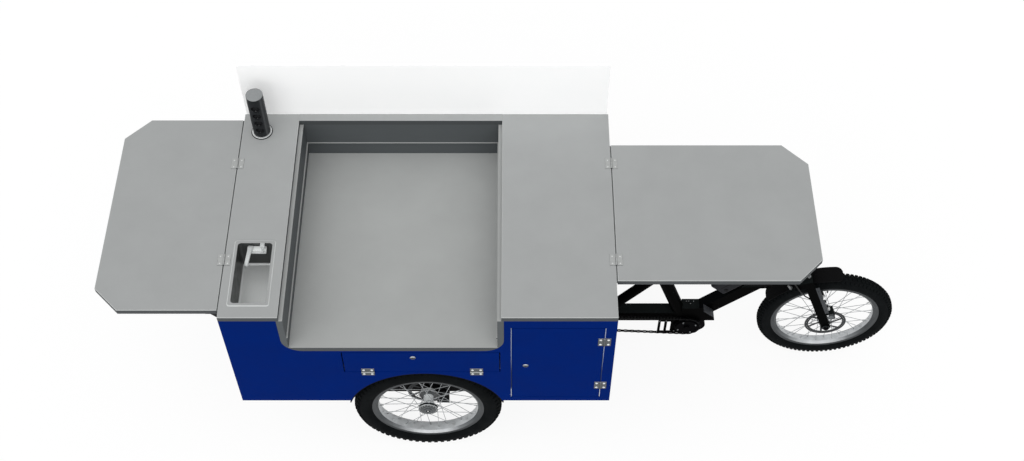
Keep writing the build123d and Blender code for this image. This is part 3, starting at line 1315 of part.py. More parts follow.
# Handlebar on its stem, with grips, lever clamps and the right clamp's cable boss
bar_middle = steered(0, 0, stem_top)
bar_points = []
for side in (-1, 1):
    half_bar = [
        bar_middle + Vector(-BAR_SWEEP - BAR_END, side * BAR_HALF_WIDTH, BAR_RISE + BAR_END_RISE),
        bar_middle + Vector(-BAR_SWEEP, side * BAR_HALF_WIDTH, BAR_RISE),
        bar_middle + Vector(0, side * BAR_STRAIGHT, 0),
    ]
    bar_points += half_bar[::-side]
grip_dir = Vector(BAR_END, 0, -BAR_END_RISE).normalized()
clamp_at = GRIP_LENGTH + CLAMP_GAP
pivot_x = bar_points[0].X + (grip_dir * (clamp_at + CLAMP_LENGTH / 2)).X
pivot_z = bar_points[0].Z + (grip_dir * (clamp_at + CLAMP_LENGTH / 2)).Z - LEVER_DROP
ear_inner = LEVER_BLADE / 2 + PART_CLEARANCE
ear_outer = ear_inner + LEVER_EAR
boss_z = pivot_z + LEVER_DROP - GRIP_RADIUS
cable_start = Vector(pivot_x + CABLE_BOSS_LENGTH, -BAR_HALF_WIDTH, boss_z)
with BuildPart() as handlebar:
    rod(steered(0, 0, collar_bottom), steered(0, 0, steerer_top), RACE_RADIUS)
    rod(steered(0, 0, collar_bottom), steered(0, 0, steerer_top), STEERER_RADIUS, Mode.SUBTRACT)
    rod(steered(0, 0, steerer_top), steered(0, 0, stem_top), STEM_RADIUS)
    with BuildLine() as bar_path:
        FilletPolyline(*bar_points, radius=BAR_BEND)
    with BuildSketch(Plane(origin=bar_path.line @ 0, z_dir=bar_path.line % 0)):
        Circle(BAR_RADIUS)
    sweep(path=bar_path.line)
    for side, end in ((-1, bar_points[0]), (1, bar_points[-1])):
        with BuildSketch(Plane(origin=end, z_dir=grip_dir)):
            Circle(GRIP_RADIUS)
            Circle(BAR_RADIUS + RUNNING_CLEARANCE, mode=Mode.SUBTRACT)
        extrude(amount=GRIP_LENGTH)
        rod(end + grip_dir * clamp_at, end + grip_dir * (clamp_at + CLAMP_LENGTH), GRIP_RADIUS)
        for y in (side * BAR_HALF_WIDTH - ear_outer, side * BAR_HALF_WIDTH + ear_inner):
            with BuildSketch(at_y(y)):
                belt(
                    pivot_x, pivot_z, LEVER_BOSS_RADIUS + PART_CLEARANCE,
                    pivot_x, pivot_z + LEVER_DROP, CLAMP_LENGTH / 2,
                )
            extrude(amount=-LEVER_EAR)
        rod(
            (pivot_x, side * BAR_HALF_WIDTH - ear_outer, pivot_z),
            (pivot_x, side * BAR_HALF_WIDTH + ear_outer, pivot_z), LEVER_PIVOT_RADIUS,
        )
    rod((pivot_x, -BAR_HALF_WIDTH, boss_z), cable_start, CABLE_BOSS_RADIUS)
keep(handlebar, "handlebar")

for side, node in ((-1, "right_brake_lever"), (1, "left_brake_lever")):
    with BuildPart() as brake_lever:
        with BuildSketch(at_y(side * BAR_HALF_WIDTH - LEVER_BLADE / 2)):
            belt(
                pivot_x, pivot_z, LEVER_BOSS_RADIUS,
                pivot_x - LEVER_BLADE_LENGTH, pivot_z - LEVER_BLADE_FALL, LEVER_TIP_RADIUS,
            )
            disc(pivot_x, pivot_z, LEVER_PIVOT_RADIUS + RUNNING_CLEARANCE, Mode.SUBTRACT)
        extrude(amount=-LEVER_BLADE)
    keep(brake_lever, node)

# Brake cable from the right lever, past the crown and behind the right blade, down into the caliper
cable_clear = blade_outer + BLADE / 2
cable_inside = BLADE_INNER - CABLE_RADIUS - LEVER_EAR / 2
cable_points = [
    cable_start,
    cable_start + Vector(2 * CABLE_BOSS_LENGTH, 0, 0),
    steered(-BLADE, -2 * cable_clear, stem_top - 2 * HEAD_TUBE_RADIUS),
    steered(-BLADE, -cable_clear - BLADE, (head_bottom + head_top) / 2),
    steered(-BLADE / 2, -cable_clear, CROWN_BOTTOM - CABLE_RADIUS),
    steered(-BLADE / 4, -cable_inside, caliper_head + 2 * CALIPER_LENGTH + BLADE_WIDTH),
    steered(FORK_OFFSET, -cable_inside, caliper_head + CALIPER_LENGTH + BLADE_WIDTH / 2),
    steered(caliper_middle, -cable_inside, caliper_head + CALIPER_LENGTH / 2),
    steered(caliper_middle, -cable_inside, caliper_head),
]
with BuildPart() as brake_cable:
    with BuildLine() as cable_path:
        FilletPolyline(*cable_points, radius=CABLE_BEND)
    with BuildSketch(Plane(origin=cable_path.line @ 0, z_dir=cable_path.line % 0)):
        Circle(CABLE_RADIUS)
    sweep(path=cable_path.line)
keep(brake_cable, "brake_cable")
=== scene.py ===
import math

import bmesh
import bpy
from mathutils import Matrix, Vector


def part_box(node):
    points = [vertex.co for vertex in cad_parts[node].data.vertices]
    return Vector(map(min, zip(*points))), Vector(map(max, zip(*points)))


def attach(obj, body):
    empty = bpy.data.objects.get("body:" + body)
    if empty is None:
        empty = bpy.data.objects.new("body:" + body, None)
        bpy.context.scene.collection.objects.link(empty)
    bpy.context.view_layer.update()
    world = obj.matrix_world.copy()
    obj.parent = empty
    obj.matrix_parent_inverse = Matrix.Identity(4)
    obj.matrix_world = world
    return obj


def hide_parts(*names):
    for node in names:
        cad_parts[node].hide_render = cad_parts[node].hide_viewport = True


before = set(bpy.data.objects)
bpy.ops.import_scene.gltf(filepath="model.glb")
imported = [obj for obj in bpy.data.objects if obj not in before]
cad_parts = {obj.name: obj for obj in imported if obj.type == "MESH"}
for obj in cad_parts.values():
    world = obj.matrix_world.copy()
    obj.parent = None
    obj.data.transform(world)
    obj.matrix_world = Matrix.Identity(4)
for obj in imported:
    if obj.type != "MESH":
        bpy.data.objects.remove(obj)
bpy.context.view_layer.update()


# Chassis: two rails and five cross beams of steel box section, welded together under the box.
# The near wheel's stub axle and the far wheel's bearing are welded to the rails; the rear calipers bolt on.
# Everything is shot-blasted and powder coated black, which leaves a faint orange peel.
def srgb(red, green, blue):
    """Colour as a screen shows it, 0 to 255, turned into the linear values a shader takes."""
    shown = [value / 255 for value in (red, green, blue)]
    return [v / 12.92 if v < 0.04045 else ((v + 0.055) / 1.055) ** 2.4 for v in shown] + [1.0]


def add_node(material, kind, **settings):
    """New shader node; a setting is an input's name with _ for spaces, or a property. A socket is linked."""
    node = material.node_tree.nodes.new("ShaderNode" + kind)
    for name, value in settings.items():
        place = node.inputs.get(name.replace("_", " "))
        if isinstance(value, bpy.types.NodeSocket):
            material.node_tree.links.new(value, place)
        elif place is not None:
            place.default_value = value
        else:
            setattr(node, name, value)
    return node


def blank_finish(name, metallic, gloss):
    """New material with its share of metal and its gloss."""
    material = bpy.data.materials.new(name)
    material.use_nodes = True
    shader = material.node_tree.nodes["Principled BSDF"]
    shader.inputs["Metallic"].default_value = metallic
    shader.inputs["Specular IOR Level"].default_value = gloss
    return material


def feed(material, name, socket):
    """Links a socket to one of the shader's inputs."""
    shader = material.node_tree.nodes["Principled BSDF"]
    material.node_tree.links.new(socket, shader.inputs[name])


def ramp(material, fac, stops):
    """Colour that goes through stops of (place, red, green, blue) as a value rises."""
    tone = add_node(material, "ValToRGB", Fac=fac)
    while len(tone.color_ramp.elements) < len(stops):
        tone.color_ramp.elements.new(0.5)
    for element, (place, *colour) in zip(tone.color_ramp.elements, stops):
        element.position = place
        element.color = srgb(*colour)
    return tone.outputs["Color"]


def grain_of(material, grain, stretch=(1, 1, 1)):
    """Noise whose blotches are about as large as grain, in metres along each axis."""
    place = add_node(material, "TexCoord").outputs["Object"]
    spread = add_node(material, "Mapping", Vector=place, Scale=[1 / (grain * side) for side in stretch])
    noise = add_node(material, "TexNoise", Vector=spread.outputs["Vector"], Scale=1.0, Detail=5.0,
                     Roughness=0.6)
    return noise.outputs["Fac"]


def raise_grain(material, fac, depth, strength):
    """Lets a noise lift the surface by about depth, in metres."""
    bump = add_node(material, "Bump", Height=fac, Strength=strength, Distance=depth)
    feed(material, "Normal", bump.outputs["Normal"])


def between(material, fac, low, high):
    """Number that a noise moves between two values."""
    span = add_node(material, "MapRange", Value=fac, From_Min=0.3, From_Max=0.7, To_Min=low, To_Max=high)
    return span.outputs["Result"]


def coat(name, dark, light, grain, smooth, rough, depth=0.00004, strength=0.35, metallic=0.0, gloss=0.5):
    """Finish that wanders between two colours and two roughnesses over its grain."""
    material = blank_finish(name, metallic, gloss)
    fac = grain_of(material, grain)
    feed(material, "Base Color", ramp(material, fac, ((0.3, *dark), (0.7, *light))))
    feed(material, "Roughness", between(material, fac, smooth, rough))
    raise_grain(material, fac, depth, strength)
    return material


def dress(material, *nodes):
    """Gives CAD nodes their finish."""
    for node in nodes:
        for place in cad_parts[node].material_slots:
            place.material = material


black_coat = coat("black_powder_coat", (4, 4, 5), (9, 9, 10), 0.0016, 0.42, 0.55, gloss=0.03)
dress(black_coat, "chassis_rails", "chassis_beams", "rear_calipers")


# Box: floor, partitions and shelf of 12 mm grey coated plywood, screwed to the beams.
# Two black wheel houses, moulded half drums with a flat back, close it over the wheels.
lining = coat("grey_lining", (140, 142, 141), (150, 152, 151), 0.02, 0.45, 0.6, gloss=0.3)
black_shell = coat("black_moulded_shell", (7, 7, 8), (15, 15, 16), 0.0009, 0.55, 0.75, 0.00008, 0.5,
                   gloss=0.04)
dress(lining, "box_floor", "inner_panels")
dress(black_shell, "wheel_houses")


# Side and end panels: 12 mm plywood with a deep blue coat, glued and screwed to the frame of boards.
# The coat is satin and sprayed, faintly cloudy, with a fine orange peel.
blue_panel = blank_finish("blue_panel_coat", 0.0, 0.006)
cloud = grain_of(blue_panel, 0.11)
feed(blue_panel, "Base Color", ramp(blue_panel, cloud, ((0.25, 0, 29, 99), (0.75, 0, 32, 105))))
feed(blue_panel, "Roughness", between(blue_panel, cloud, 0.38, 0.5))
raise_grain(blue_panel, grain_of(blue_panel, 0.0012), 0.00003, 0.3)
dress(blue_panel, "serving_side_panel", "far_side_panel", "end_panels", "cupboard_door", "flap")


# Door stop strips: anodised angle glued into the door's opening, one on each side.
# Their faces show as thin lines in the gaps beside the door. Their colour is painted by height: near white
# at the foot and pale in the upper part, painted light showing through the gap, and dark in the lower
# middle, painted shade.
def add_object(name, bm, finishes=()):
    """Object with a bmesh's shape and some finishes."""
    mesh = bpy.data.meshes.new(name)
    bm.to_mesh(mesh)
    bm.free()
    for finish in finishes:
        mesh.materials.append(finish)
    made = bpy.data.objects.new(name, mesh)
    bpy.context.scene.collection.objects.link(made)
    return made


def make_piece(name, bm, finishes, body, sharp=35, stands_for=()):
    """Object that rides on a body, shaded smooth except over edges sharper than so many degrees."""
    bmesh.ops.remove_doubles(bm, verts=bm.verts, dist=1e-6)
    bmesh.ops.recalc_face_normals(bm, faces=bm.faces)
    for face in bm.faces:
        face.smooth = True
    for edge in bm.edges:
        edge.smooth = len(edge.link_faces) == 2 and edge.calc_face_angle(0) < math.radians(sharp)
    piece = add_object(name, bm, finishes if isinstance(finishes, list) else [finishes])
    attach(piece, body)
    if stands_for:
        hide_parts(*stands_for)
    return piece


def block(bm, corner, far_corner, round_off=0.0, material=0):
    """Square block between two opposite corners, with its edges rounded."""
    corner, far_corner = Vector(corner), Vector(far_corner)
    made = bmesh.ops.create_cube(bm, size=1.0)["verts"]
    bmesh.ops.scale(bm, vec=[abs(side) for side in far_corner - corner], verts=made)
    bmesh.ops.translate(bm, vec=(corner + far_corner) / 2, verts=made)
    for vert in made:
        for face in vert.link_faces:
            face.material_index = material
    if round_off:
        edges = list(dict.fromkeys(edge for vert in made for edge in vert.link_edges))
        bmesh.ops.bevel(bm, geom=edges, offset=round_off, affect="EDGES", segments=2, profile=0.5,
                        material=-1)


DOOR_GAP = 0.004
STOP_WIDTH, STOP_SETBACK = 0.0022, 0.0012
STRIP_ROUND = 0.0003
door_low, door_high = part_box("cupboard_door")
panel_low, panel_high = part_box("serving_side_panel")
gap_light_strip = blank_finish("stop_strip_painted_gap_light", 0.0, 0.1)
brushed = grain_of(gap_light_strip, 0.004, (1, 1, 14))
split = add_node(gap_light_strip, "SeparateXYZ", Vector=add_node(gap_light_strip, "TexCoord").outputs["Object"])
height = add_node(gap_light_strip, "MapRange", Value=split.outputs["Z"], From_Min=door_low.z,
                  From_Max=door_high.z)
# Colour by height: painted light near the foot and in the upper part, painted shade in the lower middle.
feed(gap_light_strip, "Base Color", ramp(gap_light_strip, height.outputs["Result"], (
    (0.11, 226, 230, 238), (0.14, 40, 52, 96), (0.38, 52, 66, 112), (0.62, 158, 170, 202),
    (0.82, 176, 186, 212))))
feed(gap_light_strip, "Roughness", between(gap_light_strip, brushed, 0.35, 0.5))
raise_grain(gap_light_strip, brushed, 0.00003, 0.3)
bm = bmesh.new()
for edge in (door_low.x - DOOR_GAP, door_high.x + DOOR_GAP - STOP_WIDTH):
    block(bm, (edge, panel_low.y + STOP_SETBACK, door_low.z), (edge + STOP_WIDTH, panel_high.y, door_high.z),
          STRIP_ROUND)
make_piece("door_stop_strips", bm, gap_light_strip, "bike")


# Rebate strips: thin blue battens glued above and below the door and the flap, sprayed with the panels.
# They close most of each level gap; under the flap they stop short of its hinges.
REBATE_WIDTH, REBATE_SETBACK = 0.0026, 0.0006
HINGE_HALF_LENGTH, HINGE_KEEP_OUT = 0.023, 0.027
flap_low, flap_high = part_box("flap")
leaf_low, leaf_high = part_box("flap_leaves")
flap_hinges = (leaf_low.x + HINGE_HALF_LENGTH, leaf_high.x - HINGE_HALF_LENGTH)
flap_stops = [x + side * HINGE_KEEP_OUT for x in flap_hinges for side in (-1, 1)]
flap_stops = [flap_low.x, *flap_stops, flap_high.x]
bm = bmesh.new()
for low, high, stops in ((door_low, door_high, [door_low.x, door_high.x]),
                         (flap_low, flap_high, flap_stops)):
    stretches = [(low.x, high.x, high.z + DOOR_GAP - REBATE_WIDTH)]
    stretches += [(start, end, low.z - DOOR_GAP) for start, end in zip(stops[::2], stops[1::2])]
    for start, end, z in stretches:
        block(bm, (start, panel_low.y + REBATE_SETBACK, z), (end, panel_high.y, z + REBATE_WIDTH),
              STRIP_ROUND)
make_piece("rebate_strips", bm, blue_panel, "bike")


# Well: a 22 mm floor board between two side boards and a back board, with a routed ledge all round.
# The boards are coated grey on their faces. Sawn edges are painted a darker grey, their dark core with
# painted shade;
# the well's upright faces get the same dark grey, painted shade, and rounded edges are painted lighter than
# the flat tops, a painted highlight.
def maths(material, operation, *values):
    """Result of a sum on sockets and plain numbers."""
    node = add_node(material, "Math", operation=operation)
    for place, value in zip(node.inputs, values):
        if isinstance(value, bpy.types.NodeSocket):
            material.node_tree.links.new(value, place)
        else:
            place.default_value = value
    return node.outputs["Value"]


def faced(name, axis, stops, cloud, speck, smooth, rough, metallic=0.0, gloss=0.25, wander=0.03, both=True,
          stretch=(1, 1, 1), square_to=None):
    """Finish whose tone follows how far a face looks along an axis, which paints light and shade by facing,
    with clouds and fine specks over it.
    """
    material = blank_finish(name, metallic, gloss)
    specks = grain_of(material, speck, stretch)
    split = add_node(material, "SeparateXYZ", Vector=add_node(material, "TexCoord").outputs["Normal"])
    looks = maths(material, "ABSOLUTE" if both else "ADD", split.outputs[axis], 0.0)
    if square_to:
        away = maths(material, "ABSOLUTE", split.outputs[square_to])
        looks = maths(material, "MAXIMUM", maths(material, "SUBTRACT", 1.0, away), looks)
    clouds = between(material, grain_of(material, cloud, stretch), 1 - wander, 1 + wander)
    tint = add_node(material, "Mix", data_type="RGBA", blend_type="MULTIPLY", clamp_result=False, Factor=1.0,
                    A=ramp(material, looks, stops), B=clouds)
    feed(material, "Base Color", tint.outputs["Result"])
    feed(material, "Roughness", between(material, specks, smooth, rough))
    raise_grain(material, specks, 0.00003, 0.25)
    return material


# Tone by facing: upright faces dark, the sawn core with painted shade; rounded edges a painted highlight;
# flat tops grey.
grey_board = faced("grey_coated_board", "Z", (
    (0.12, 70, 73, 75), (0.4, 186, 189, 188), (0.93, 184, 187, 186), (0.985, 157, 159, 159),
), 0.16, 0.0018, 0.5, 0.62, gloss=0.2)
well_board = faced("grey_well_board", "Z", (
    (0.12, 80, 84, 86), (0.4, 168, 171, 170), (0.93, 168, 171, 170), (0.985, 163, 165, 164),
), 0.16, 0.0018, 0.5, 0.62, gloss=0.2)
floor_board = faced("grey_well_floor", "Z", (
    (0.12, 70, 73, 75), (0.4, 186, 189, 188), (0.985, 161, 163, 162),
), 0.16, 0.0018, 0.5, 0.62, gloss=0.2)
dress(grey_board, "rear_worktop", "front_worktop", "worktop_strip", "rear_table", "front_table")
dress(well_board, "well_boards")
dress(floor_board, "well_floor")


# Gap seals: soft grey lips in a groove of each slab's end, which the open tables close against.
# They close the hinge gap and stand in for the shade in it, a painted shade, so the gap shows as a thin
# darker line.
SEAL_BITE, SEAL_REACH, SEAL_ROUND = 0.0004, 0.003, 0.0008
SEAL_TOP, SEAL_HEIGHT = 0.0032, 0.011
gap_shade_seal = coat("grey_gap_shade_seal", (112, 114, 114), (126, 128, 128), 0.002, 0.6, 0.75, gloss=0.05)
rear_slab, front_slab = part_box("rear_worktop"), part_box("front_worktop")
rear_table, front_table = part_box("rear_table"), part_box("front_table")
slab_top = rear_slab[1].z
seal_top = slab_top - SEAL_TOP
bm = bmesh.new()
for edge, (table_low, table_high), out in ((rear_slab[0].x, rear_table, -1),
                                           (front_slab[1].x, front_table, 1)):
    block(bm, (edge - out * SEAL_BITE, table_low.y, seal_top - SEAL_HEIGHT),
          (edge + out * SEAL_REACH, table_high.y, seal_top), SEAL_ROUND)
make_piece("gap_seals", bm, gap_shade_seal, "bike")


# Screen: one white plastic sheet standing behind the worktop, its top corners rounded.
# It is screwed to the back edge of the slabs with six pan-head screws.
X, Y, Z = Vector((1, 0, 0)), Vector((0, 1, 0)), Vector((0, 0, 1))


def rod(bm, start, end, radius, segments=24, tip=None, material=0):
    """Round bar, or a cone when a tip radius is given, from one point to another."""
    start, end = Vector(start), Vector(end)
    turn = (end - start).to_track_quat("Z", "Y").to_matrix().to_4x4()
    made = bmesh.ops.create_cone(bm, cap_ends=True, segments=segments, radius1=radius,
                                 radius2=radius if tip is None else tip, depth=(end - start).length,
                                 matrix=Matrix.Translation((start + end) / 2) @ turn)["verts"]
    for vert in made:
        for face in vert.link_faces:
            face.material_index = material
    return made


def screw(bm, place, normal, radius, height, segments=12, recess=0):
    """Pan head with a recess in its top: a short cone, inset and pressed in."""
    made = rod(bm, place, Vector(place) + normal * height, radius, segments, tip=radius * 0.72)
    faces = [face for vert in made for face in vert.link_faces]
    top = max(faces, key=lambda face: face.calc_center_median().dot(normal))
    bmesh.ops.inset_individual(bm, faces=[top], thickness=radius * 0.36, depth=0.0)
    bmesh.ops.inset_individual(bm, faces=[top], thickness=radius * 0.05, depth=-height * 0.6)
    # The recess face takes its own material; a dark one there is painted shade in the recess.
    top.material_index = recess


screen_white = coat("white_screen_sheet", (252, 253, 253), (255, 255, 255), 0.05, 0.3, 0.4, gloss=0.3)
bright_steel = coat("bright_steel", (172, 174, 174), (205, 207, 207), 0.003, 0.22, 0.38, 0.00002,
                    metallic=1.0)
# A faint painted glow: the sheet gives off a little light of its own, so it shows whiter than its lighting
# makes it.
PAINTED_GLOW = 0.07
sheet = screen_white.node_tree.nodes["Principled BSDF"]
sheet.inputs["Emission Color"].default_value = (1, 1, 1, 1)
sheet.inputs["Emission Strength"].default_value = PAINTED_GLOW
dress(screen_white, "screen")
SCREEN_SCREWS = 6
SCREEN_SCREW_RADIUS, SCREEN_SCREW_HEIGHT = 0.0055, 0.0014
screen_low, screen_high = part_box("screen")
screw_z = (front_slab[0].z + front_slab[1].z) / 2
bm = bmesh.new()
for index in range(SCREEN_SCREWS):
    x = screen_low.x + (screen_high.x - screen_low.x) * (index + 0.5) / SCREEN_SCREWS
    screw(bm, (x, screen_high.y - SCREEN_SCREW_HEIGHT, screw_z), Y, SCREEN_SCREW_RADIUS, SCREEN_SCREW_HEIGHT)
make_piece("screen_screws", bm, bright_steel, "bike")


# Butt hinges: pressed steel leaves with a rolled knuckle, zinc plated, four screws each.
# Two carry each table, two the cupboard door and two the flap; the tables' screws are sunk flush.
# The leaves' tone follows how far a face looks up: upright faces, so the door's and flap's leaves, are
# painted darker than the tables' leaves, painted shade.
hinge_steel = faced("zinc_plated_hinge", "Z", (
    (0.2, 84, 87, 89), (0.6, 140, 142, 142), (0.98, 164, 166, 165),
), 0.012, 0.003, 0.3, 0.45, metallic=0.3, gloss=0.2, wander=0.08)
screw_steel = coat("bright_screw_head", (214, 216, 216), (240, 241, 241), 0.002, 0.25, 0.4, 0.00001,
                   metallic=0.3)
# Screw recesses are painted dark grey: painted shade in the recess.
screw_recess_shade = coat("screw_recess_shade", (40, 42, 43), (58, 60, 61), 0.001, 0.4, 0.6, gloss=0.1)
dress(hinge_steel, "fixed_hinge_leaves", "rear_table_leaves", "front_table_leaves", "door_leaves",
      "flap_leaves")
TABLE_SCREW_RADIUS, TABLE_SCREW_HEIGHT, TABLE_SCREW_SUNK = 0.0031, 0.0006, 0.00055
PANEL_SCREW_RADIUS, PANEL_SCREW_HEIGHT = 0.0048, 0.0012
SCREW_FROM_PIN, SCREW_SPREAD = 0.0135, 0.0145
LEAF_THICKNESS = 0.002
rear_pin = (rear_slab[0].x + rear_table[1].x) / 2
front_pin = (front_slab[1].x + front_table[0].x) / 2
door_pin = door_high.x + DOOR_GAP / 2
flap_pin = flap_low.z - DOOR_GAP / 2
leaf_low, leaf_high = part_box("rear_table_leaves")
TABLE_HINGE_HALF = (leaf_high.y - leaf_low.y) / 2 - HINGE_HALF_LENGTH
hinges = []
for y in (-TABLE_HINGE_HALF, TABLE_HINGE_HALF):
    hinges.append(("rear_table", (rear_pin, y, leaf_low.z), Y, -X, Z))
    hinges.append(("front_table", (front_pin, y, leaf_low.z), Y, X, Z))
leaf_low, leaf_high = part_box("door_leaves")
for z in (leaf_low.z + HINGE_HALF_LENGTH, leaf_high.z - HINGE_HALF_LENGTH):
    hinges.append(("door", (door_pin, panel_low.y, z), Z, -X, -Y))
for x in flap_hinges:
    hinges.append(("flap", (x, panel_low.y, flap_pin), X, Z, -Y))
for name, body in (("fixed_hinge_screws", "bike"), ("rear_table_screws", "rear_table"),
                   ("front_table_screws", "front_table"), ("door_hinge_screws", "door"),
                   ("flap_hinge_screws", "flap")):
    bm = bmesh.new()
    for moving, pin, along, out, normal in hinges:
        if body not in ("bike", moving):
            continue
        leaf = Vector(pin) + out * (-SCREW_FROM_PIN if body == "bike" else SCREW_FROM_PIN)
        leaf += normal * LEAF_THICKNESS
        for step in (-SCREW_SPREAD, SCREW_SPREAD):
            place = leaf + along * step
            if normal == Z:
                screw(bm, place - Z * TABLE_SCREW_SUNK, Z, TABLE_SCREW_RADIUS, TABLE_SCREW_HEIGHT, recess=1)
            else:
                screw(bm, place, normal, PANEL_SCREW_RADIUS, PANEL_SCREW_HEIGHT, recess=1)
    make_piece(name, bm, [screw_steel, screw_recess_shade], body)


# Cam locks: a chromed round head turned from brass, with a domed face and a milled key slot.
# A nut behind the panel holds each one, and the cam on its tail catches the panel's edge.
def spun(bm, points, centre, axis, steps):
    """Spins a line of points once round an axis."""
    verts = [bm.verts.new(point) for point in points]
    edges = [bm.edges.new(pair) for pair in zip(verts, verts[1:])]
    bmesh.ops.spin(bm, geom=verts + edges, cent=centre, axis=axis, angle=2 * math.pi, steps=steps,
                   use_merge=True)


def turned(bm, profile, centre, axis, steps=48, material=0):
    """Lathe work: spins a line of (distance along the axis, radius) points round the axis."""
    side = axis.orthogonal().normalized()
    before = set(bm.faces)
    spun(bm, [centre + axis * along + side * radius for along, radius in profile], centre, axis, steps)
    for face in bm.faces:
        if face not in before:
            face.material_index = material
    bmesh.ops.remove_doubles(bm, verts=bm.verts, dist=1e-6)


chrome = coat("polished_chrome", (196, 199, 201), (222, 225, 227), 0.006, 0.1, 0.22, 0.00001, metallic=1.0)
# Near black: the battery's lock, charge flap and seam strip, and painted shade in key slots, holes and screw
# recesses.
black_and_hole_shade = coat("black_parts_and_painted_hole_shade", (8, 8, 9), (16, 16, 17), 0.001, 0.5, 0.7, gloss=0.1)
dress(chrome, "door_lock", "flap_lock")
# The dome's tone follows how far it faces up: its upper side is a painted highlight and its lower side
# painted shade.
lock_chrome = faced("lock_chrome", "Z", (
    (0.0, 38, 40, 44), (0.12, 70, 73, 78), (0.3, 196, 200, 206), (0.8, 226, 229, 232),
), 0.006, 0.002, 0.15, 0.28, metallic=0.4, gloss=0.3, wander=0.05, both=False)
LOCK_RIM, LOCK_EDGE, LOCK_DOME = 0.0098, 0.0006, 0.0025
KEY_SLOT_WIDTH, KEY_SLOT_LENGTH, KEY_SLOT_PROUD = 0.0016, 0.0058, 0.0001
DOOR_LOCK_IN, DOOR_LOCK_UP = 0.048, 0.2305
FLAP_LOCK_IN, FLAP_LOCK_DOWN = 0.246, 0.029
slot_half = Vector((KEY_SLOT_WIDTH / 2, 0, KEY_SLOT_LENGTH / 2))
for lock, x, z in (("door_lock", door_low.x + DOOR_LOCK_IN, door_low.z + DOOR_LOCK_UP),
                   ("flap_lock", flap_low.x + FLAP_LOCK_IN, flap_high.z - FLAP_LOCK_DOWN)):
    head = Vector((x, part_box(lock)[0].y, z))
    bm = bmesh.new()
    turned(bm, [(0.0, LOCK_RIM), (LOCK_EDGE, LOCK_RIM), (LOCK_DOME * 0.55, LOCK_RIM * 0.84),
                (LOCK_DOME * 0.85, LOCK_RIM * 0.55), (LOCK_DOME, 0.0)], head, -Y, 32)
    # The key slot is a near-black block through the dome: painted shade in the slot.
    block(bm, head - slot_half - Y * (LOCK_DOME + KEY_SLOT_PROUD), head + slot_half, material=1)
    make_piece(lock + "_face", bm, [lock_chrome, black_and_hole_shade], lock)


# Sink: one bowl pressed from 2 mm stainless sheet, satin brushed, its rim lying on the slab.
# A strainer cup closes the drain in its floor, close under the near wall.
def wheelwise(angle):
    """Direction at an angle in a wheel's plane, from the way the bike goes."""
    return Vector((math.cos(angle), 0, math.sin(angle)))


def round_the_wheel(count, shift=0.0):
    """Evenly spaced directions in a wheel's plane."""
    return [wheelwise(2 * math.pi * (index + shift) / count) for index in range(count)]


def rounded_plate(bm, low, high, z, corner):
    """Flat plate with round corners at one height."""
    made = bmesh.ops.create_grid(bm, x_segments=1, y_segments=1, size=0.5)["verts"]
    bmesh.ops.scale(bm, vec=(high.x - low.x, high.y - low.y, 1), verts=made)
    bmesh.ops.translate(bm, vec=((low.x + high.x) / 2, (low.y + high.y) / 2, z), verts=made)
    bmesh.ops.bevel(bm, geom=made, offset=corner, affect="VERTICES", segments=6, profile=0.5, material=-1)


# The bowl's tone follows how far a face looks up: upright walls are painted dark, painted shade; rounded
# corners are a painted highlight; the floor is painted lighter than the steel, painted light against the
# shade in the bowl.
sink_steel = faced("brushed_sink_steel", "Z", (
    (0.1, 62, 64, 64), (0.4, 226, 228, 228), (0.9, 240, 242, 242), (0.99, 220, 223, 222),
), 0.0012, 0.0012, 0.3, 0.45, metallic=0.2, gloss=0.3, wander=0.04, stretch=(1, 26, 26))
# The bead's tone follows how far it faces up: its slopes are painted lighter than its flat crest, a painted
# highlight, and its upright skirt dark, painted shade.
rim_satin = faced("satin_sink_rim", "Z", (
    (0.1, 70, 72, 72), (0.4, 190, 193, 192), (0.93, 192, 195, 194), (0.985, 155, 157, 157),
), 0.02, 0.0015, 0.4, 0.55, gloss=0.2)
dress(sink_steel, "sink")
sink_low, sink_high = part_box("sink")
sink_middle = (sink_low + sink_high) / 2
RIM_INNER_EDGE, RIM_REACH, RIM_SKIRT = 0.0074, 0.0038, 0.0010
RIM_LIFT, RIM_SLOPE, RIM_BEAD = 0.0001, 0.0022, 0.0010
OUTER_CORNER, INNER_CORNER = 0.009, 0.0116
rim_reach = Vector((RIM_REACH, RIM_REACH, 0))
rim_opening = Vector((RIM_INNER_EDGE, RIM_INNER_EDGE, 0))
rim_z = sink_high.z + RIM_LIFT
bm = bmesh.new()
rounded_plate(bm, sink_low - rim_reach, sink_high + rim_reach, rim_z, OUTER_CORNER)
rounded_plate(bm, sink_low + rim_opening, sink_high - rim_opening, rim_z, INNER_CORNER)
bmesh.ops.delete(bm, geom=bm.faces[:], context="FACES_ONLY")
outer_edges = [edge for edge in bm.edges if not all(
    sink_low.x < vert.co.x < sink_high.x and sink_low.y < vert.co.y < sink_high.y for vert in edge.verts)]
bmesh.ops.bridge_loops(bm, edges=bm.edges[:])
skirt = bmesh.ops.extrude_edge_only(bm, edges=outer_edges)["geom"]
skirt = [item for item in skirt if isinstance(item, bmesh.types.BMVert)]
spread = sink_high - sink_middle + rim_reach
grow = (1 + RIM_SKIRT / spread.x, 1 + RIM_SKIRT / spread.y, 1)
bmesh.ops.scale(bm, vec=grow, space=Matrix.Translation(-sink_middle), verts=skirt)
bmesh.ops.translate(bm, vec=Z * (slab_top - rim_z), verts=skirt)
bmesh.ops.recalc_face_normals(bm, faces=bm.faces)
crest = [face for face in bm.faces if all(vert not in skirt for vert in face.verts)]
bmesh.ops.inset_region(bm, faces=crest, thickness=RIM_SLOPE, depth=RIM_BEAD)
make_piece("sink_rim_bead", bm, rim_satin, "bike", 20)
DRAIN_RADIUS, DRAIN_INSET = 0.012, 0.047
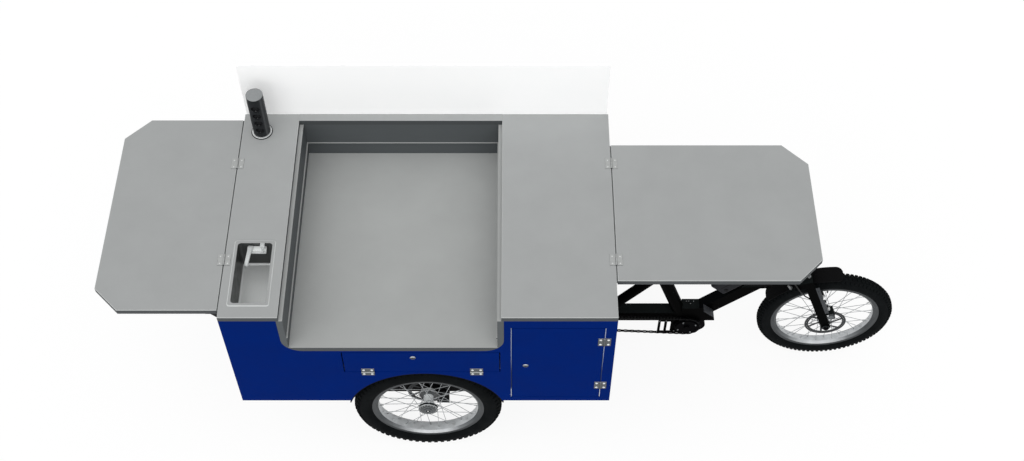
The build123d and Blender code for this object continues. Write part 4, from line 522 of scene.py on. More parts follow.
STRAINER_RADIUS, STRAINER_HEIGHT, STRAINER_DEPTH = 0.0185, 0.0016, 0.003
STRAINER_HOLES, HOLE_RADIUS, HOLE_RING = 8, 0.0014, 0.58
SINK_OVER_WELL = 0.069
drain = Vector((sink_middle.x, sink_low.y + DRAIN_INSET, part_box("well_floor")[1].z + SINK_OVER_WELL))
bm = bmesh.new()
turned(bm, [(0.0, STRAINER_RADIUS), (STRAINER_HEIGHT, STRAINER_RADIUS - 0.0018),
            (STRAINER_HEIGHT, DRAIN_RADIUS + 0.0012), (-0.0022, DRAIN_RADIUS - 0.0008),
            (-STRAINER_DEPTH, 0.0)], drain, Z, 40)
# The strainer's holes are near-black discs: painted shade in the holes.
for out in round_the_wheel(STRAINER_HOLES):
    hole = drain + out.xzy * DRAIN_RADIUS * HOLE_RING - Z * (STRAINER_DEPTH - 0.0002)
    rod(bm, hole, hole + Z * 0.0006, HOLE_RADIUS, 10, material=1)
make_piece("sink_strainer", bm, [bright_steel, black_and_hole_shade], "bike")


# Tap: a cast body through the sink's far wall, with a swinging spout and a quarter-turn lever.
# All three are satin plated brass; a turned outlet ring ends the spout and a square knob the lever.
def lay(bm, verts, turn, place):
    """Turns what was made about the origin and moves it to its place."""
    bmesh.ops.rotate(bm, cent=(0, 0, 0), matrix=turn, verts=verts)
    bmesh.ops.translate(bm, vec=place, verts=verts)


# Its tone follows how far a face looks up: upright faces are painted lighter than the tops, a painted
# highlight.
tap_satin = faced("satin_tap", "Z", (
    (0.0, 234, 237, 237), (0.5, 200, 203, 203), (1.0, 178, 181, 181),
), 0.01, 0.002, 0.2, 0.35, metallic=0.2, gloss=0.3, wander=0.04)
# The body takes the sink's finish, so its upright faces are painted dark like the sink's walls: painted
# shade.
dress(sink_steel, "tap_body")
dress(tap_satin, "tap_lever")
body_low, body_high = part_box("tap_body")
spout_low, spout_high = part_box("tap_spout")
lever_low, lever_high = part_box("tap_lever")
SPOUT_COLLAR, SPOUT_END = 0.010, 0.005
JACKET_FRONT, JACKET_BACK = 0.0165, 0.0106
JACKET_SIDE, JACKET_HEIGHT, JACKET_UNDER, JACKET_ROUND = 0.0012, 0.0105, 0.0002, 0.0026
tap_y = spout_high.y - SPOUT_COLLAR
bm = bmesh.new()
block(bm, (body_low.x - JACKET_SIDE, tap_y - JACKET_FRONT, body_high.z - JACKET_HEIGHT),
      (body_high.x + JACKET_SIDE, tap_y + JACKET_BACK, body_high.z - JACKET_UNDER), JACKET_ROUND)
make_piece("tap_jacket", bm, tap_satin, "bike")
SPOUT_WIDTH, SPOUT_DEPTH, SPOUT_ROUND = 0.0158, 0.0104, 0.0024
SPOUT_ROOT_DOWN, SPOUT_TIP_UP = 0.0082, 0.007
SPOUT_TAPER = (0.86, 1, 0.8)
OUTLET_RADIUS, OUTLET_DROP = 0.0072, 0.006
ROOT_HALF, ROOT_ROUND = Vector((0.0088, 0.0088, 0.0)), 0.003
ROOT_FOOT, ROOT_TOP = 0.0003, 0.0068
spout_root = Vector((spout_high.x - SPOUT_COLLAR, tap_y, spout_high.z - SPOUT_ROOT_DOWN))
spout_tip = Vector((spout_low.x + SPOUT_END, spout_low.y + SPOUT_END, spout_low.z + SPOUT_TIP_UP))
spout_run = spout_tip - spout_root
bm = bmesh.new()
bmesh.ops.create_cube(bm, size=1.0)
bmesh.ops.scale(bm, vec=(SPOUT_WIDTH, spout_run.length, SPOUT_DEPTH), verts=bm.verts)
bmesh.ops.scale(bm, vec=SPOUT_TAPER, verts=[vert for vert in bm.verts if vert.co.y > 0])
bmesh.ops.bevel(bm, geom=bm.edges[:], offset=SPOUT_ROUND, affect="EDGES", segments=3, profile=0.5,
                material=-1)
lay(bm, bm.verts, spout_run.to_track_quat("Y", "Z").to_matrix(), (spout_root + spout_tip) / 2)
turned(bm, [(0.002, 0.0), (0.002, OUTLET_RADIUS - 0.0014), (0.0004, OUTLET_RADIUS),
            (-OUTLET_DROP, OUTLET_RADIUS), (-OUTLET_DROP - 0.0012, OUTLET_RADIUS - 0.0012),
            (-OUTLET_DROP - 0.0012, 0.0)], spout_tip, Z, 24)
root = Vector((spout_root.x, spout_root.y, body_high.z))
block(bm, root - ROOT_HALF + Z * ROOT_FOOT, root + ROOT_HALF + Z * ROOT_TOP, ROOT_ROUND)
make_piece("tap_spout_arm", bm, tap_satin, "tap_spout", 35, ("tap_spout",))
LEVER_BOSS_RADIUS = 0.008
KNOB_HALF, KNOB_ROUND = Vector((0.0074, 0.0074, 0.0)), 0.0014
KNOB_FOOT, KNOB_TOP, NECK_BITE = 0.007, 0.0165, 0.0012
lever_hub = Vector((lever_low.x + LEVER_BOSS_RADIUS, lever_high.y - LEVER_BOSS_RADIUS, lever_high.z))
bm = bmesh.new()
rod(bm, lever_hub - Z * NECK_BITE, lever_hub + Z * KNOB_FOOT, LEVER_BOSS_RADIUS * 0.7)
block(bm, lever_hub - KNOB_HALF + Z * KNOB_FOOT, lever_hub + KNOB_HALF + Z * KNOB_TOP, KNOB_ROUND)
turned(bm, [(0.0, LEVER_BOSS_RADIUS * 0.5), (0.0006, LEVER_BOSS_RADIUS * 0.44), (0.0006, 0.0)],
       lever_hub + Z * KNOB_TOP, Z, 24)
make_piece("tap_lever_cap", bm, tap_satin, "tap_lever")


# Socket tower: an extruded black sleeve that slides up out of the slab, with four sockets one above another.
# A grey anodised cap is pressed into its top; a steel collar lines the hole in the slab, and a black
# rubber gasket seals the collar's foot; the gasket ring also stands in for the shadow under the collar, a
# painted shadow.
# The sleeve's tone follows how far it faces towards +X: a lighter band where it faces that way at a slant is
# a painted highlight.
tower_black = faced("black_tower_sleeve", "X", (
    (0.35, 38, 40, 42), (0.58, 43, 45, 47), (0.72, 78, 80, 82), (0.92, 54, 56, 58),
), 0.03, 0.002, 0.3, 0.42, gloss=0.05, wander=0.06, both=False, stretch=(1, 1, 20))
cap_grey = coat("grey_tower_cap", (133, 136, 137), (141, 144, 145), 0.004, 0.35, 0.48, gloss=0.2)
# Its tone follows how far a face looks up: the upright outer face is painted dark, painted shade.
collar_steel = faced("turned_steel_collar", "Z", (
    (0.2, 40, 42, 44), (0.6, 196, 198, 198), (1.0, 206, 208, 208),
), 0.006, 0.002, 0.2, 0.35, metallic=0.3, gloss=0.3, wander=0.05)
socket_black = coat("black_socket_insert", (30, 31, 33), (40, 41, 43), 0.0012, 0.4, 0.55, gloss=0.05)
gasket_and_shadow_black = coat("black_collar_gasket_and_painted_shadow", (34, 36, 37), (44, 46, 47), 0.002, 0.5, 0.62, gloss=0.05)
dress(tower_black, "socket_tower")
dress(collar_steel, "tower_collar")
tower_low, tower_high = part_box("socket_tower")
tower = (tower_low + tower_high) / 2
CAP_BITE, CAP_RISE = 0.0004, 0.0022
cap_radius = (tower_high.x - tower_low.x) / 2 - 0.0001
bm = bmesh.new()
turned(bm, [(-CAP_BITE, cap_radius), (0.0, cap_radius), (CAP_RISE * 0.7, cap_radius - 0.0008),
            (CAP_RISE, cap_radius - 0.0025), (CAP_RISE, 0.0)],
       Vector((tower.x, tower.y, tower_high.z)), Z, 64)
make_piece("tower_cap", bm, cap_grey, "socket_tower")
collar_low, collar_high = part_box("tower_collar")
collar_radius = (collar_high.x - collar_low.x) / 2
# The gasket ring also stands in for the shadow under the collar's edge: painted shadow.
GASKET_REACH, GASKET_BITE, GASKET_SHARE = 0.0024, 0.0006, 0.8
gasket_top = (collar_high.z - slab_top) * GASKET_SHARE
bm = bmesh.new()
turned(bm, [(0.0, collar_radius + GASKET_REACH), (gasket_top * 0.4, collar_radius + GASKET_REACH),
            (gasket_top, collar_radius + GASKET_BITE), (gasket_top, collar_radius - GASKET_BITE)],
       Vector((tower.x, tower.y, slab_top)), Z, 64)
make_piece("tower_gasket_shadow_ring", bm, gasket_and_shadow_black, "bike")
SOCKET_COUNT, SOCKET_FIRST, SOCKET_PITCH = 4, 0.038, 0.0395
SOCKET_RADIUS, SOCKET_MOUTH_IN = 0.016, 0.0014
SOCKET_CUP = [(0.0046, 0.0157), (0.0052, 0.0148), (0.0104, 0.0146), (0.0104, 0.0)]
PIN_SPACING, PIN_HOLE, PIN_DEPTH = 0.019, 0.0026, 0.0098
CLIP_HALF, CLIP_LENGTH, CLIP_INSET = Vector((0.0022, 0.0, 0.0007)), 0.006, 0.0022
bm = bmesh.new()
for index in range(SOCKET_COUNT):
    z = slab_top + SOCKET_FIRST + index * SOCKET_PITCH
    mouth = Vector((tower.x, tower_low.y + SOCKET_MOUTH_IN, z))
    turned(bm, SOCKET_CUP, mouth, Y, 36)
    for side in (-1, 1):
        # Pin holes are near-black discs: painted shade in the holes.
        hole = mouth + Y * PIN_DEPTH + X * side * PIN_SPACING / 2
        rod(bm, hole - Y * 0.0006, hole + Y * 0.0004, PIN_HOLE, 12, material=1)
        clip = mouth + Y * PIN_DEPTH + Z * side * (SOCKET_RADIUS - CLIP_INSET)
        block(bm, clip - CLIP_HALF - Y * CLIP_LENGTH, clip + CLIP_HALF, 0.0002, 2)
make_piece("tower_sockets", bm, [socket_black, black_and_hole_shade, bright_steel], "socket_tower")


# Table brackets: folded black steel angles screwed under the slab's edge, which the open tables rest on.
# Water canisters: two blow-moulded polyethylene cans on the floor under the sink.
bracket_black = coat("black_bracket", (30, 31, 32), (44, 45, 46), 0.0015, 0.4, 0.55, gloss=0.06)
can_white = coat("milky_canister", (214, 217, 219), (226, 229, 231), 0.012, 0.35, 0.5, gloss=0.4)
dress(bracket_black, "table_brackets")
dress(can_white, "water_tanks")


# Tyres: black rubber carcass with a round shoulder, two moulded ribs on each wall, and moulded blocks.
# Two centre rows and two shoulder rows of blocks repeat round each tyre.
def rubber(name, dark, light):
    """Matt rubber with dusty patches and a fine moulded grain."""
    material = blank_finish(name, 0.0, 0.02)
    feed(material, "Base Color", ramp(material, grain_of(material, 0.03), ((0.35, *dark), (0.8, *light))))
    pores = grain_of(material, 0.0011)
    feed(material, "Roughness", between(material, pores, 0.6, 0.8))
    raise_grain(material, pores, 0.00008, 0.4)
    return material


tyre_rubber = rubber("tyre_rubber", (13, 15, 16), (20, 22, 23))
BEAD_RADIUS, BEAD_IN, BEAD_DOWN = 0.2098, 0.003, 0.002
BLOCK_HEIGHT, BLOCK_TAPER = 0.0038, (0.8, 0.86)
CARCASS_POINTS, TYRE_SEGMENTS = 32, 144
WALL_RIBS, WALL_RIB = (4, 8), 0.0007
CARCASS_SINK, WALL_SHY = 0.012, 0.0008
CENTRE_ROW, CENTRE_LEAN, CENTRE_BITE = 0.2, 0.1, 0.2
CENTRE_LENGTH, CENTRE_WIDTH, CENTRE_HEIGHT = 0.64, 0.34, 1.2
SHOULDER_ROW, SHOULDER_LEAN, SHOULDER_LIFT = 0.7, 0.72, 0.0012
SHOULDER_LENGTH, SHOULDER_WIDTH, SHOULDER_HEIGHT = 0.6, 0.36, 1.5


def tread_block(bm, centre, reach, y, angle, size, lean):
    """One tapered block standing on the carcass, leaning out to its side."""
    made = bmesh.ops.create_cube(bm, size=1.0)["verts"]
    for vert in made:
        if vert.co.z > 0:
            vert.co.x *= BLOCK_TAPER[0]
            vert.co.y *= BLOCK_TAPER[1]
    bmesh.ops.scale(bm, vec=size, verts=made)
    lay(bm, made, Matrix.Rotation(lean, 3, "X"), (0, y, reach))
    lay(bm, made, Matrix.Rotation(angle, 3, "Y"), centre)


def tyre(prefix, blocks_round):
    """Carcass spun from half an ellipse, with rows of blocks out to the CAD tyre's own radius and width."""
    low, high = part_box(prefix + "_tyre")
    rim_low, rim_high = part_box(prefix + "_rim")
    centre, half = (low + high) / 2, (high - low) / 2
    crown = half.z - BLOCK_HEIGHT
    middle = (crown + BEAD_RADIUS - CARCASS_SINK) / 2
    rise = crown - middle
    side = half.y - WALL_SHY
    turn = math.asin((BEAD_RADIUS - middle) / rise)
    bead = (rim_high.y - rim_low.y) / 2 - BEAD_IN
    profile = [(bead, BEAD_RADIUS - BEAD_DOWN)]
    for index in range(CARCASS_POINTS + 1):
        angle = turn + (math.pi - 2 * turn) * index / CARCASS_POINTS
        rib = WALL_RIB if min(index, CARCASS_POINTS - index) in WALL_RIBS else 0.0
        profile.append(((side + rib) * math.cos(angle), middle + (rise + rib) * math.sin(angle)))
    profile += [(-bead, BEAD_RADIUS - BEAD_DOWN), profile[0]]
    bm = bmesh.new()
    turned(bm, profile, centre, Y, TYRE_SEGMENTS)
    pitch = 2 * math.pi / blocks_round
    length = pitch * half.z
    shoulder = middle + rise * math.sqrt(1 - SHOULDER_ROW**2) + SHOULDER_LIFT
    centre_size = (length * CENTRE_LENGTH, half.y * CENTRE_WIDTH, BLOCK_HEIGHT * CENTRE_HEIGHT)
    shoulder_size = (length * SHOULDER_LENGTH, half.y * SHOULDER_WIDTH, BLOCK_HEIGHT * SHOULDER_HEIGHT)
    for index in range(blocks_round):
        for sign in (-1, 1):
            step = index * pitch + sign * pitch / 4
            tread_block(bm, centre, crown + BLOCK_HEIGHT * CENTRE_BITE, sign * half.y * CENTRE_ROW, step,
                        centre_size, -sign * CENTRE_LEAN)
            tread_block(bm, centre, shoulder, sign * half.y * SHOULDER_ROW, step + pitch / 2,
                        shoulder_size, -sign * SHOULDER_LEAN)
    make_piece(prefix + "_tyre_tread", bm, tyre_rubber, prefix + "_wheel", 30, (prefix + "_tyre",))


# Rims and spokes: wide rolled aluminium rims, polished, laced with 36 stainless spokes.
# Each spoke screws into a plated brass nipple in the rim's bed; a valve comes through between two of them.
# The rim's tone follows its faces: side walls facing along the axle are painted dark, painted shade; bed and
# shoulders are painted light, brightest on the shoulders, a painted highlight; broad clouds streak it.
rim_alloy = faced("rolled_rim_alloy", "Z", (
    (0.0, 58, 61, 63), (0.3, 68, 71, 73), (0.55, 110, 113, 115), (0.74, 196, 199, 201),
    (0.86, 224, 227, 229), (1.0, 196, 199, 201),
), 0.03, 0.0015, 0.25, 0.4, metallic=0.2, gloss=0.2, wander=0.14, square_to="Y")
spoke_steel = coat("stainless_spokes", (150, 153, 155), (172, 175, 177), 0.01, 0.3, 0.4, 0.00001,
                   metallic=0.2)
SPOKES = 36
RIM_INNER, RIM_BITE = 0.187, 0.001
NIPPLE_LENGTH, NIPPLE_RADIUS = 0.013, 0.0024
NIPPLE_LANES = (0.004, -0.004, 0.006, -0.006)
VALVE_RADIUS, VALVE_LENGTH, VALVE_CAP_SHARE = 0.003, 0.034, 0.72
VALVE_WAY = wheelwise(math.radians(95))


def middle_of(node):
    """Middle of a CAD node's box."""
    low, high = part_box(node)
    return (low + high) / 2


def rim_dressing(prefix, side):
    """Nipples in four lanes round the rim, and the valve between two of them."""
    centre = middle_of(prefix + "_rim")
    dress(rim_alloy, prefix + "_rim")
    dress(spoke_steel, prefix + "_spokes")
    bm = bmesh.new()
    for index, out in enumerate(round_the_wheel(SPOKES)):
        lane = centre + Y * side * NIPPLE_LANES[index % len(NIPPLE_LANES)]
        rod(bm, lane + out * (RIM_INNER - NIPPLE_LENGTH), lane + out * (RIM_INNER + RIM_BITE),
            NIPPLE_RADIUS * 0.75, 8, tip=NIPPLE_RADIUS)
    cap = centre + VALVE_WAY * (RIM_INNER - VALVE_LENGTH * VALVE_CAP_SHARE)
    rod(bm, centre + VALVE_WAY * (RIM_INNER + RIM_BITE), cap, VALVE_RADIUS, 14)
    rod(bm, cap, centre + VALVE_WAY * (RIM_INNER - VALVE_LENGTH), VALVE_RADIUS * 1.25, 12, VALVE_RADIUS, 1)
    make_piece(prefix + "_nipples_and_valve", bm, [bright_steel, socket_black], prefix + "_wheel")


# Hubs and brake discs: forged aluminium shells with two drilled flanges, a steel disc bolted to each.
# The discs are stamped with slots and six slanting arms, and six screws hold them.
rotor_steel = coat("ground_brake_disc", (38, 40, 42), (54, 56, 58), 0.006, 0.3, 0.42, 0.00002, metallic=0.3,
                   gloss=0.15)
# Its tone follows how far a face looks along the axle: the barrel is painted near white, a painted
# highlight, and the flange faces dark, painted shade.
hub_alloy = faced("forged_hub_alloy", "Y", (
    (0.0, 250, 254, 255), (0.4, 242, 247, 248), (0.75, 80, 84, 86), (1.0, 46, 50, 52),
), 0.02, 0.002, 0.2, 0.34, metallic=0.05, gloss=0.4, wander=0.08)
DISC_RINGS = (0.065, 0.0706, 0.0736, 0.08)
DISC_SECTORS, DISC_THICKNESS = 108, 0.002
DISC_CENTRE, DISC_HOLE = 0.026, 0.020
DISC_ARMS, ARM_SLANT, ARM_FOOT_HALF, ARM_TIP_HALF = 6, math.radians(26), 0.17, 0.06
ARM_LAP, ARM_TIP_LAP = 0.001, 0.0012
DISC_SCREWS, DISC_SCREW, DISC_SCREW_RING = 6, (0.0028, 0.0016, 10), 0.0225
DISC_SEAT_HALF, DISC_SEAT_IN = 0.0045, 0.0055
FLANGE_HALF, FLANGE_ROOT, FLANGE_EDGE, BARREL_EDGE = 0.0015, 0.006, 0.0006, 0.002
SPOKE_HOLES, SPOKE_HOLE_INSET, SPOKE_HOLE_RADIUS = 18, 0.0036, 0.0014


def join(bm, part):
    """Adds a part made on its own to a bmesh."""
    spare = bpy.data.meshes.new("spare")
    part.to_mesh(spare)
    part.free()
    bm.from_mesh(spare)
    bpy.data.meshes.remove(spare)


def brake_disc(bm, centre):
    """Flat ring with slots left out, slanting arms and a centre ring, given its thickness at the end."""
    flat = bmesh.new()
    back = centre - Y * DISC_THICKNESS / 2
    spun(flat, [back + X * radius for radius in DISC_RINGS], back, Y, DISC_SECTORS)
    slots = []
    for face in flat.faces:
        middle = face.calc_center_median() - back
        sector = round(math.degrees(math.atan2(middle.z, middle.x)) / (360 / DISC_SECTORS) - 0.5)
        if sector % 3 == 0 and DISC_RINGS[1] < middle.length < DISC_RINGS[2]:
            slots.append(face)
    bmesh.ops.delete(flat, geom=slots, context="FACES")
    spun(flat, [back + X * DISC_HOLE, back + X * DISC_CENTRE], back, Y, 36)
    for index in range(DISC_ARMS):
        foot = 2 * math.pi * index / DISC_ARMS
        tip = foot + ARM_SLANT
        corners = [wheelwise(foot + turn) * (DISC_CENTRE - ARM_LAP)
                   for turn in (-ARM_FOOT_HALF, ARM_FOOT_HALF)]
        corners += [wheelwise(tip + turn) * (DISC_RINGS[0] + ARM_TIP_LAP)
                    for turn in (ARM_TIP_HALF, -ARM_TIP_HALF)]
        flat.faces.new([flat.verts.new(back + corner) for corner in corners])
    bmesh.ops.recalc_face_normals(flat, faces=flat.faces)
    for face in flat.faces:
        if face.normal.y > 0:
            face.normal_flip()
    grown = bmesh.ops.extrude_face_region(flat, geom=flat.faces[:])["geom"]
    grown = [item for item in grown if isinstance(item, bmesh.types.BMVert)]
    bmesh.ops.translate(flat, vec=Y * DISC_THICKNESS, verts=grown)
    for face in flat.faces:
        face.material_index = 1
    join(bm, flat)


def hub(prefix, side, ends, flanges, flange_radius, barrel, bore, disc, cover=0.0):
    """Hub shell, disc and disc screws; distances grow from the wheel's middle plane to its outer side."""
    centre = middle_of(prefix + "_rim")
    inner, outer = ends
    bm = bmesh.new()
    profile = [(-inner, bore), (-inner, barrel - BARREL_EDGE), (BARREL_EDGE - inner, barrel)]
    for place in sorted(flanges):
        half_flange = [(FLANGE_ROOT, barrel), (FLANGE_HALF, barrel + FLANGE_ROOT),
                       (FLANGE_HALF, flange_radius - FLANGE_EDGE),
                       (FLANGE_HALF - FLANGE_EDGE, flange_radius)]
        profile += [(place - along, radius) for along, radius in half_flange]
        profile += [(place + along, radius) for along, radius in reversed(half_flange)]
    profile += [(outer - BARREL_EDGE, barrel), (outer, barrel - BARREL_EDGE), (outer, bore), (-inner, bore)]
    turned(bm, profile, centre, Y * side)
    if cover:
        turned(bm, [(outer - 0.005, barrel), (outer - 0.005, cover - 0.002), (outer - 0.0035, cover),
                    (outer - 0.0015, cover), (outer - 0.0003, cover - 0.0016),
                    (outer - 0.0003, cover - 0.0058), (outer - 0.0015, cover - 0.007),
                    (outer - 0.0015, barrel + 0.002), (outer - 0.0003, barrel)], centre, Y * side)
        for out in round_the_wheel(SPOKE_HOLES, 0.5):
            rivet = centre + Y * side * (outer - 0.0007) + out * (cover - SPOKE_HOLE_INSET)
            rod(bm, rivet, rivet + Y * side * 0.0008, SPOKE_HOLE_RADIUS, 8, material=3)
    disc_middle = centre + Y * side * disc
    disc_way = Y * side * math.copysign(1, disc)
    brake_disc(bm, disc_middle)
    turned(bm, [(-DISC_SEAT_HALF, DISC_CENTRE), (DISC_SEAT_HALF, DISC_CENTRE), (DISC_SEAT_HALF, barrel),
                (-DISC_SEAT_HALF, barrel), (-DISC_SEAT_HALF, DISC_CENTRE)],
           disc_middle - disc_way * DISC_SEAT_IN, Y, 36)
    for out in round_the_wheel(DISC_SCREWS, 0.5):
        screw(bm, disc_middle + out * DISC_SCREW_RING + disc_way * DISC_THICKNESS / 2, disc_way, *DISC_SCREW)
    through = Y * (FLANGE_HALF + 0.0002)
    # Spoke holes are near-black rods through the flanges: painted shade in the holes.
    for place in flanges:
        for out in round_the_wheel(SPOKE_HOLES):
            hole = centre + Y * side * place + out * (flange_radius - SPOKE_HOLE_INSET)
            rod(bm, hole - through, hole + through, SPOKE_HOLE_RADIUS, 8, material=2)
    make_piece(prefix + "_hub_and_disc", bm, [hub_alloy, rotor_steel, black_and_hole_shade, screw_steel],
               prefix + "_wheel", 35, (prefix + "_hub",))


REAR_BLOCKS, FRONT_BLOCKS = 66, 86
for prefix, side in (("right", -1), ("left", 1)):
    tyre(prefix, REAR_BLOCKS)
    rim_dressing(prefix, side)
    hub(prefix, side, ends=(0.054, 0.030), flanges=(0.016, -0.034), flange_radius=0.036, barrel=0.018,
        bore=0.01005, disc=-0.051, cover=0.036)
tyre("front", FRONT_BLOCKS)
rim_dressing("front", 1)
hub("front", 1, ends=(0.046, 0.046), flanges=(0.026, -0.026), flange_radius=0.029, barrel=0.015,
    bore=0.00605, disc=-0.040)
dress(bright_steel, "drive_shaft")


# Rear caliper ribs: three cast ribs and two bolt heads on each rear caliper's outer face.
# They are part of the black casting; they are painted a lighter grey than it, a painted highlight where
# their edges catch the light.
RIB_PROUD, RIB_BITE, RIB_HALF, RIB_END, RIB_ROUND = 0.0009, 0.0005, 0.0014, 0.005, 0.0004
RIB_SHARES, BOLT_SHARE, BOLT_RADIUS = (0.18, 0.4, 0.62), 0.8, 0.0040
rib_highlight_grey = coat("caliper_rib_painted_highlight", (36, 38, 39), (48, 50, 51), 0.002, 0.4, 0.5, gloss=0.05)
caliper_low, caliper_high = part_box("rear_calipers")
caliper_height = caliper_high.z - caliper_low.z
bm = bmesh.new()
for side, face in ((-1, caliper_low.y), (1, caliper_high.y)):
    for share in RIB_SHARES:
        z = caliper_low.z + caliper_height * share
        block(bm, (caliper_low.x + RIB_END, face - side * RIB_BITE, z - RIB_HALF),
              (caliper_high.x - RIB_END, face + side * RIB_PROUD, z + RIB_HALF), RIB_ROUND)
    for x in (caliper_low.x + 2 * RIB_END, caliper_high.x - 2 * RIB_END):
        bolt = (x, face, caliper_low.z + caliper_height * BOLT_SHARE)
        screw(bm, bolt, Y * side, BOLT_RADIUS, RIB_PROUD, recess=1)
make_piece("rear_caliper_ribs", bm, [rib_highlight_grey, black_and_hole_shade], "bike")


# Axle caps: grey nylon caps pushed over the rear axles' ends, ribbed for a grip.
# Each has a shallow dish in its face with a bright screw in the middle.
AXLE_CAP_RADIUS, AXLE_CAP_LENGTH, AXLE_CAP_BITE = 0.0146, 0.0058, 0.0048
DISH_OUTER, DISH_INNER, DISH_DEPTH = 0.0092, 0.0084, 0.0012
RIBS, GRIP_RIB_RADIUS, CAP_SCREW_RADIUS = 18, 0.0006, 0.0032
axle_cap = coat("grey_axle_cap", (84, 87, 89), (100, 103, 105), 0.002, 0.35, 0.5, gloss=0.1)
axle = middle_of("right_rim")
for name, body, end, out in (("right_axle_cap", "bike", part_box("chassis_rails")[0].y, -Y),
                             ("left_axle_cap", "left_wheel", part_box("drive_shaft")[1].y, Y)):
    bm = bmesh.new()
    start = Vector((axle.x, end, axle.z)) - out * AXLE_CAP_BITE
    turned(bm, [(0.0, AXLE_CAP_RADIUS), (AXLE_CAP_LENGTH - 0.0008, AXLE_CAP_RADIUS - 0.0004),
                (AXLE_CAP_LENGTH, AXLE_CAP_RADIUS - 0.0016), (AXLE_CAP_LENGTH, DISH_OUTER),
                (AXLE_CAP_LENGTH - DISH_DEPTH, DISH_INNER), (AXLE_CAP_LENGTH - DISH_DEPTH, 0.0)],
           start, out, 36)
    for way in round_the_wheel(RIBS):
        foot = start + way * (AXLE_CAP_RADIUS - 0.0001)
        rod(bm, foot, foot + out * (AXLE_CAP_LENGTH - 0.001), GRIP_RIB_RADIUS, 6)
    rod(bm, start, start + out * (AXLE_CAP_LENGTH - DISH_DEPTH / 2), CAP_SCREW_RADIUS, 16, material=1)
    make_piece(name, bm, [axle_cap, screw_steel], body)


# Frame: box-section main and down tubes, round seat tube and stay, head tube and motor plate.
# Aluminium, welded and powder coated black; a plate welded on closes the main tube's mitred end.
# A split collar with one bolt clamps the seat post, and four small screws hold the cable guide.
# The coat's tone follows how far a face looks up: faces turned up are painted lighter, a painted highlight,
# and sides and undersides near black.
frame_coat = faced("black_frame_coat", "Z", (
    (0.0, 3, 3, 3), (0.6, 9, 10, 10), (0.97, 26, 29, 29),
), 0.03, 0.0014, 0.36, 0.5, gloss=0.006, wander=0.12, both=False)
dull_zinc = coat("dull_zinc", (118, 120, 121), (140, 142, 143), 0.002, 0.35, 0.5, metallic=0.3, gloss=0.2)
dress(frame_coat, "bike_frame", "seat_post", "fork", "handlebar", "right_brake_lever", "left_brake_lever")
worktop_x = front_slab[1].x
MAIN_TUBE_HALF, MAIN_TUBE_BOTTOM, MAIN_TUBE_TOP = 0.0225, 0.248, 0.302
MAIN_TUBE_TIP, MITRE = worktop_x + 0.436, 0.046
END_PLATE, END_PLATE_ROUND, END_PLATE_SHY = 0.0012, 0.0008, 0.0005
foot = Vector((MAIN_TUBE_TIP, 0, MAIN_TUBE_BOTTOM))
head = Vector((MAIN_TUBE_TIP - MITRE, 0, MAIN_TUBE_TOP))
plate_half = Vector((0, MAIN_TUBE_HALF - END_PLATE_SHY, (head - foot).length / 2 - END_PLATE_SHY))
tilt = math.atan2(head.x - foot.x, head.z - foot.z)
bm = bmesh.new()
block(bm, -plate_half, plate_half + X * END_PLATE, END_PLATE_ROUND)
lay(bm, bm.verts, Matrix.Rotation(tilt, 3, "Y"), (foot + head) / 2)
make_piece("main_tube_end_plate", bm, frame_coat, "bike")
SEAT_LEAN = math.radians(19.2)
SEAT_TUBE_FOOT, SEAT_TUBE_RISE = 0.291, 0.314
COLLAR_INNER, COLLAR_TUBE, COLLAR_OUTER, COLLAR_DEPTH = 0.0156, 0.0252, 0.0282, 0.014
EAR_RADIUS, EAR_HALF, EAR_DOWN, EAR_OUT = 0.0062, 0.012, 0.006, 0.003
CLAMP_BOLT, CLAMP_NUT, CLAMP_NUT_HEIGHT = (0.005, 0.004, 14), 0.0056, 0.003
seat_up = Vector((-math.sin(SEAT_LEAN), 0, math.cos(SEAT_LEAN)))
seat_top = Vector((worktop_x + SEAT_TUBE_FOOT, 0, MAIN_TUBE_TOP))
seat_top += seat_up * SEAT_TUBE_RISE / math.cos(SEAT_LEAN)
bm = bmesh.new()
turned(bm, [(-COLLAR_DEPTH, COLLAR_TUBE), (-COLLAR_DEPTH, COLLAR_OUTER - 0.001), (-0.013, COLLAR_OUTER),
            (0.001, COLLAR_OUTER), (0.0024, COLLAR_OUTER - 0.0014), (0.0024, COLLAR_INNER),
            (0.0006, COLLAR_INNER), (0.0006, COLLAR_TUBE), (-COLLAR_DEPTH, COLLAR_TUBE)], seat_top, seat_up)
ear = seat_top - seat_up * EAR_DOWN - seat_up.cross(Y) * (COLLAR_OUTER + EAR_OUT)
rod(bm, ear - Y * EAR_HALF, ear + Y * EAR_HALF, EAR_RADIUS, 20)
screw(bm, ear - Y * EAR_HALF, -Y, *CLAMP_BOLT, recess=1)
rod(bm, ear + Y * EAR_HALF, ear + Y * (EAR_HALF + CLAMP_NUT_HEIGHT), CLAMP_NUT, 6, material=2)
make_piece("seat_clamp", bm, [frame_coat, black_and_hole_shade, bright_steel], "bike")
GUIDE_START, GUIDE_TOP = worktop_x + 0.303, MAIN_TUBE_TOP + 0.032
GUIDE_SCREWS = ((0.018, 0.012), (0.027, 0.012), (0.046, 0.012), (0.033, 0.001))
GUIDE_SCREW = (0.0024, 0.0016, 10)
bm = bmesh.new()
for step, y in GUIDE_SCREWS:
    screw(bm, (GUIDE_START + step, y, GUIDE_TOP), Z, *GUIDE_SCREW, recess=1)
make_piece("cable_guide_screws", bm, [dull_zinc, screw_recess_shade], "bike")


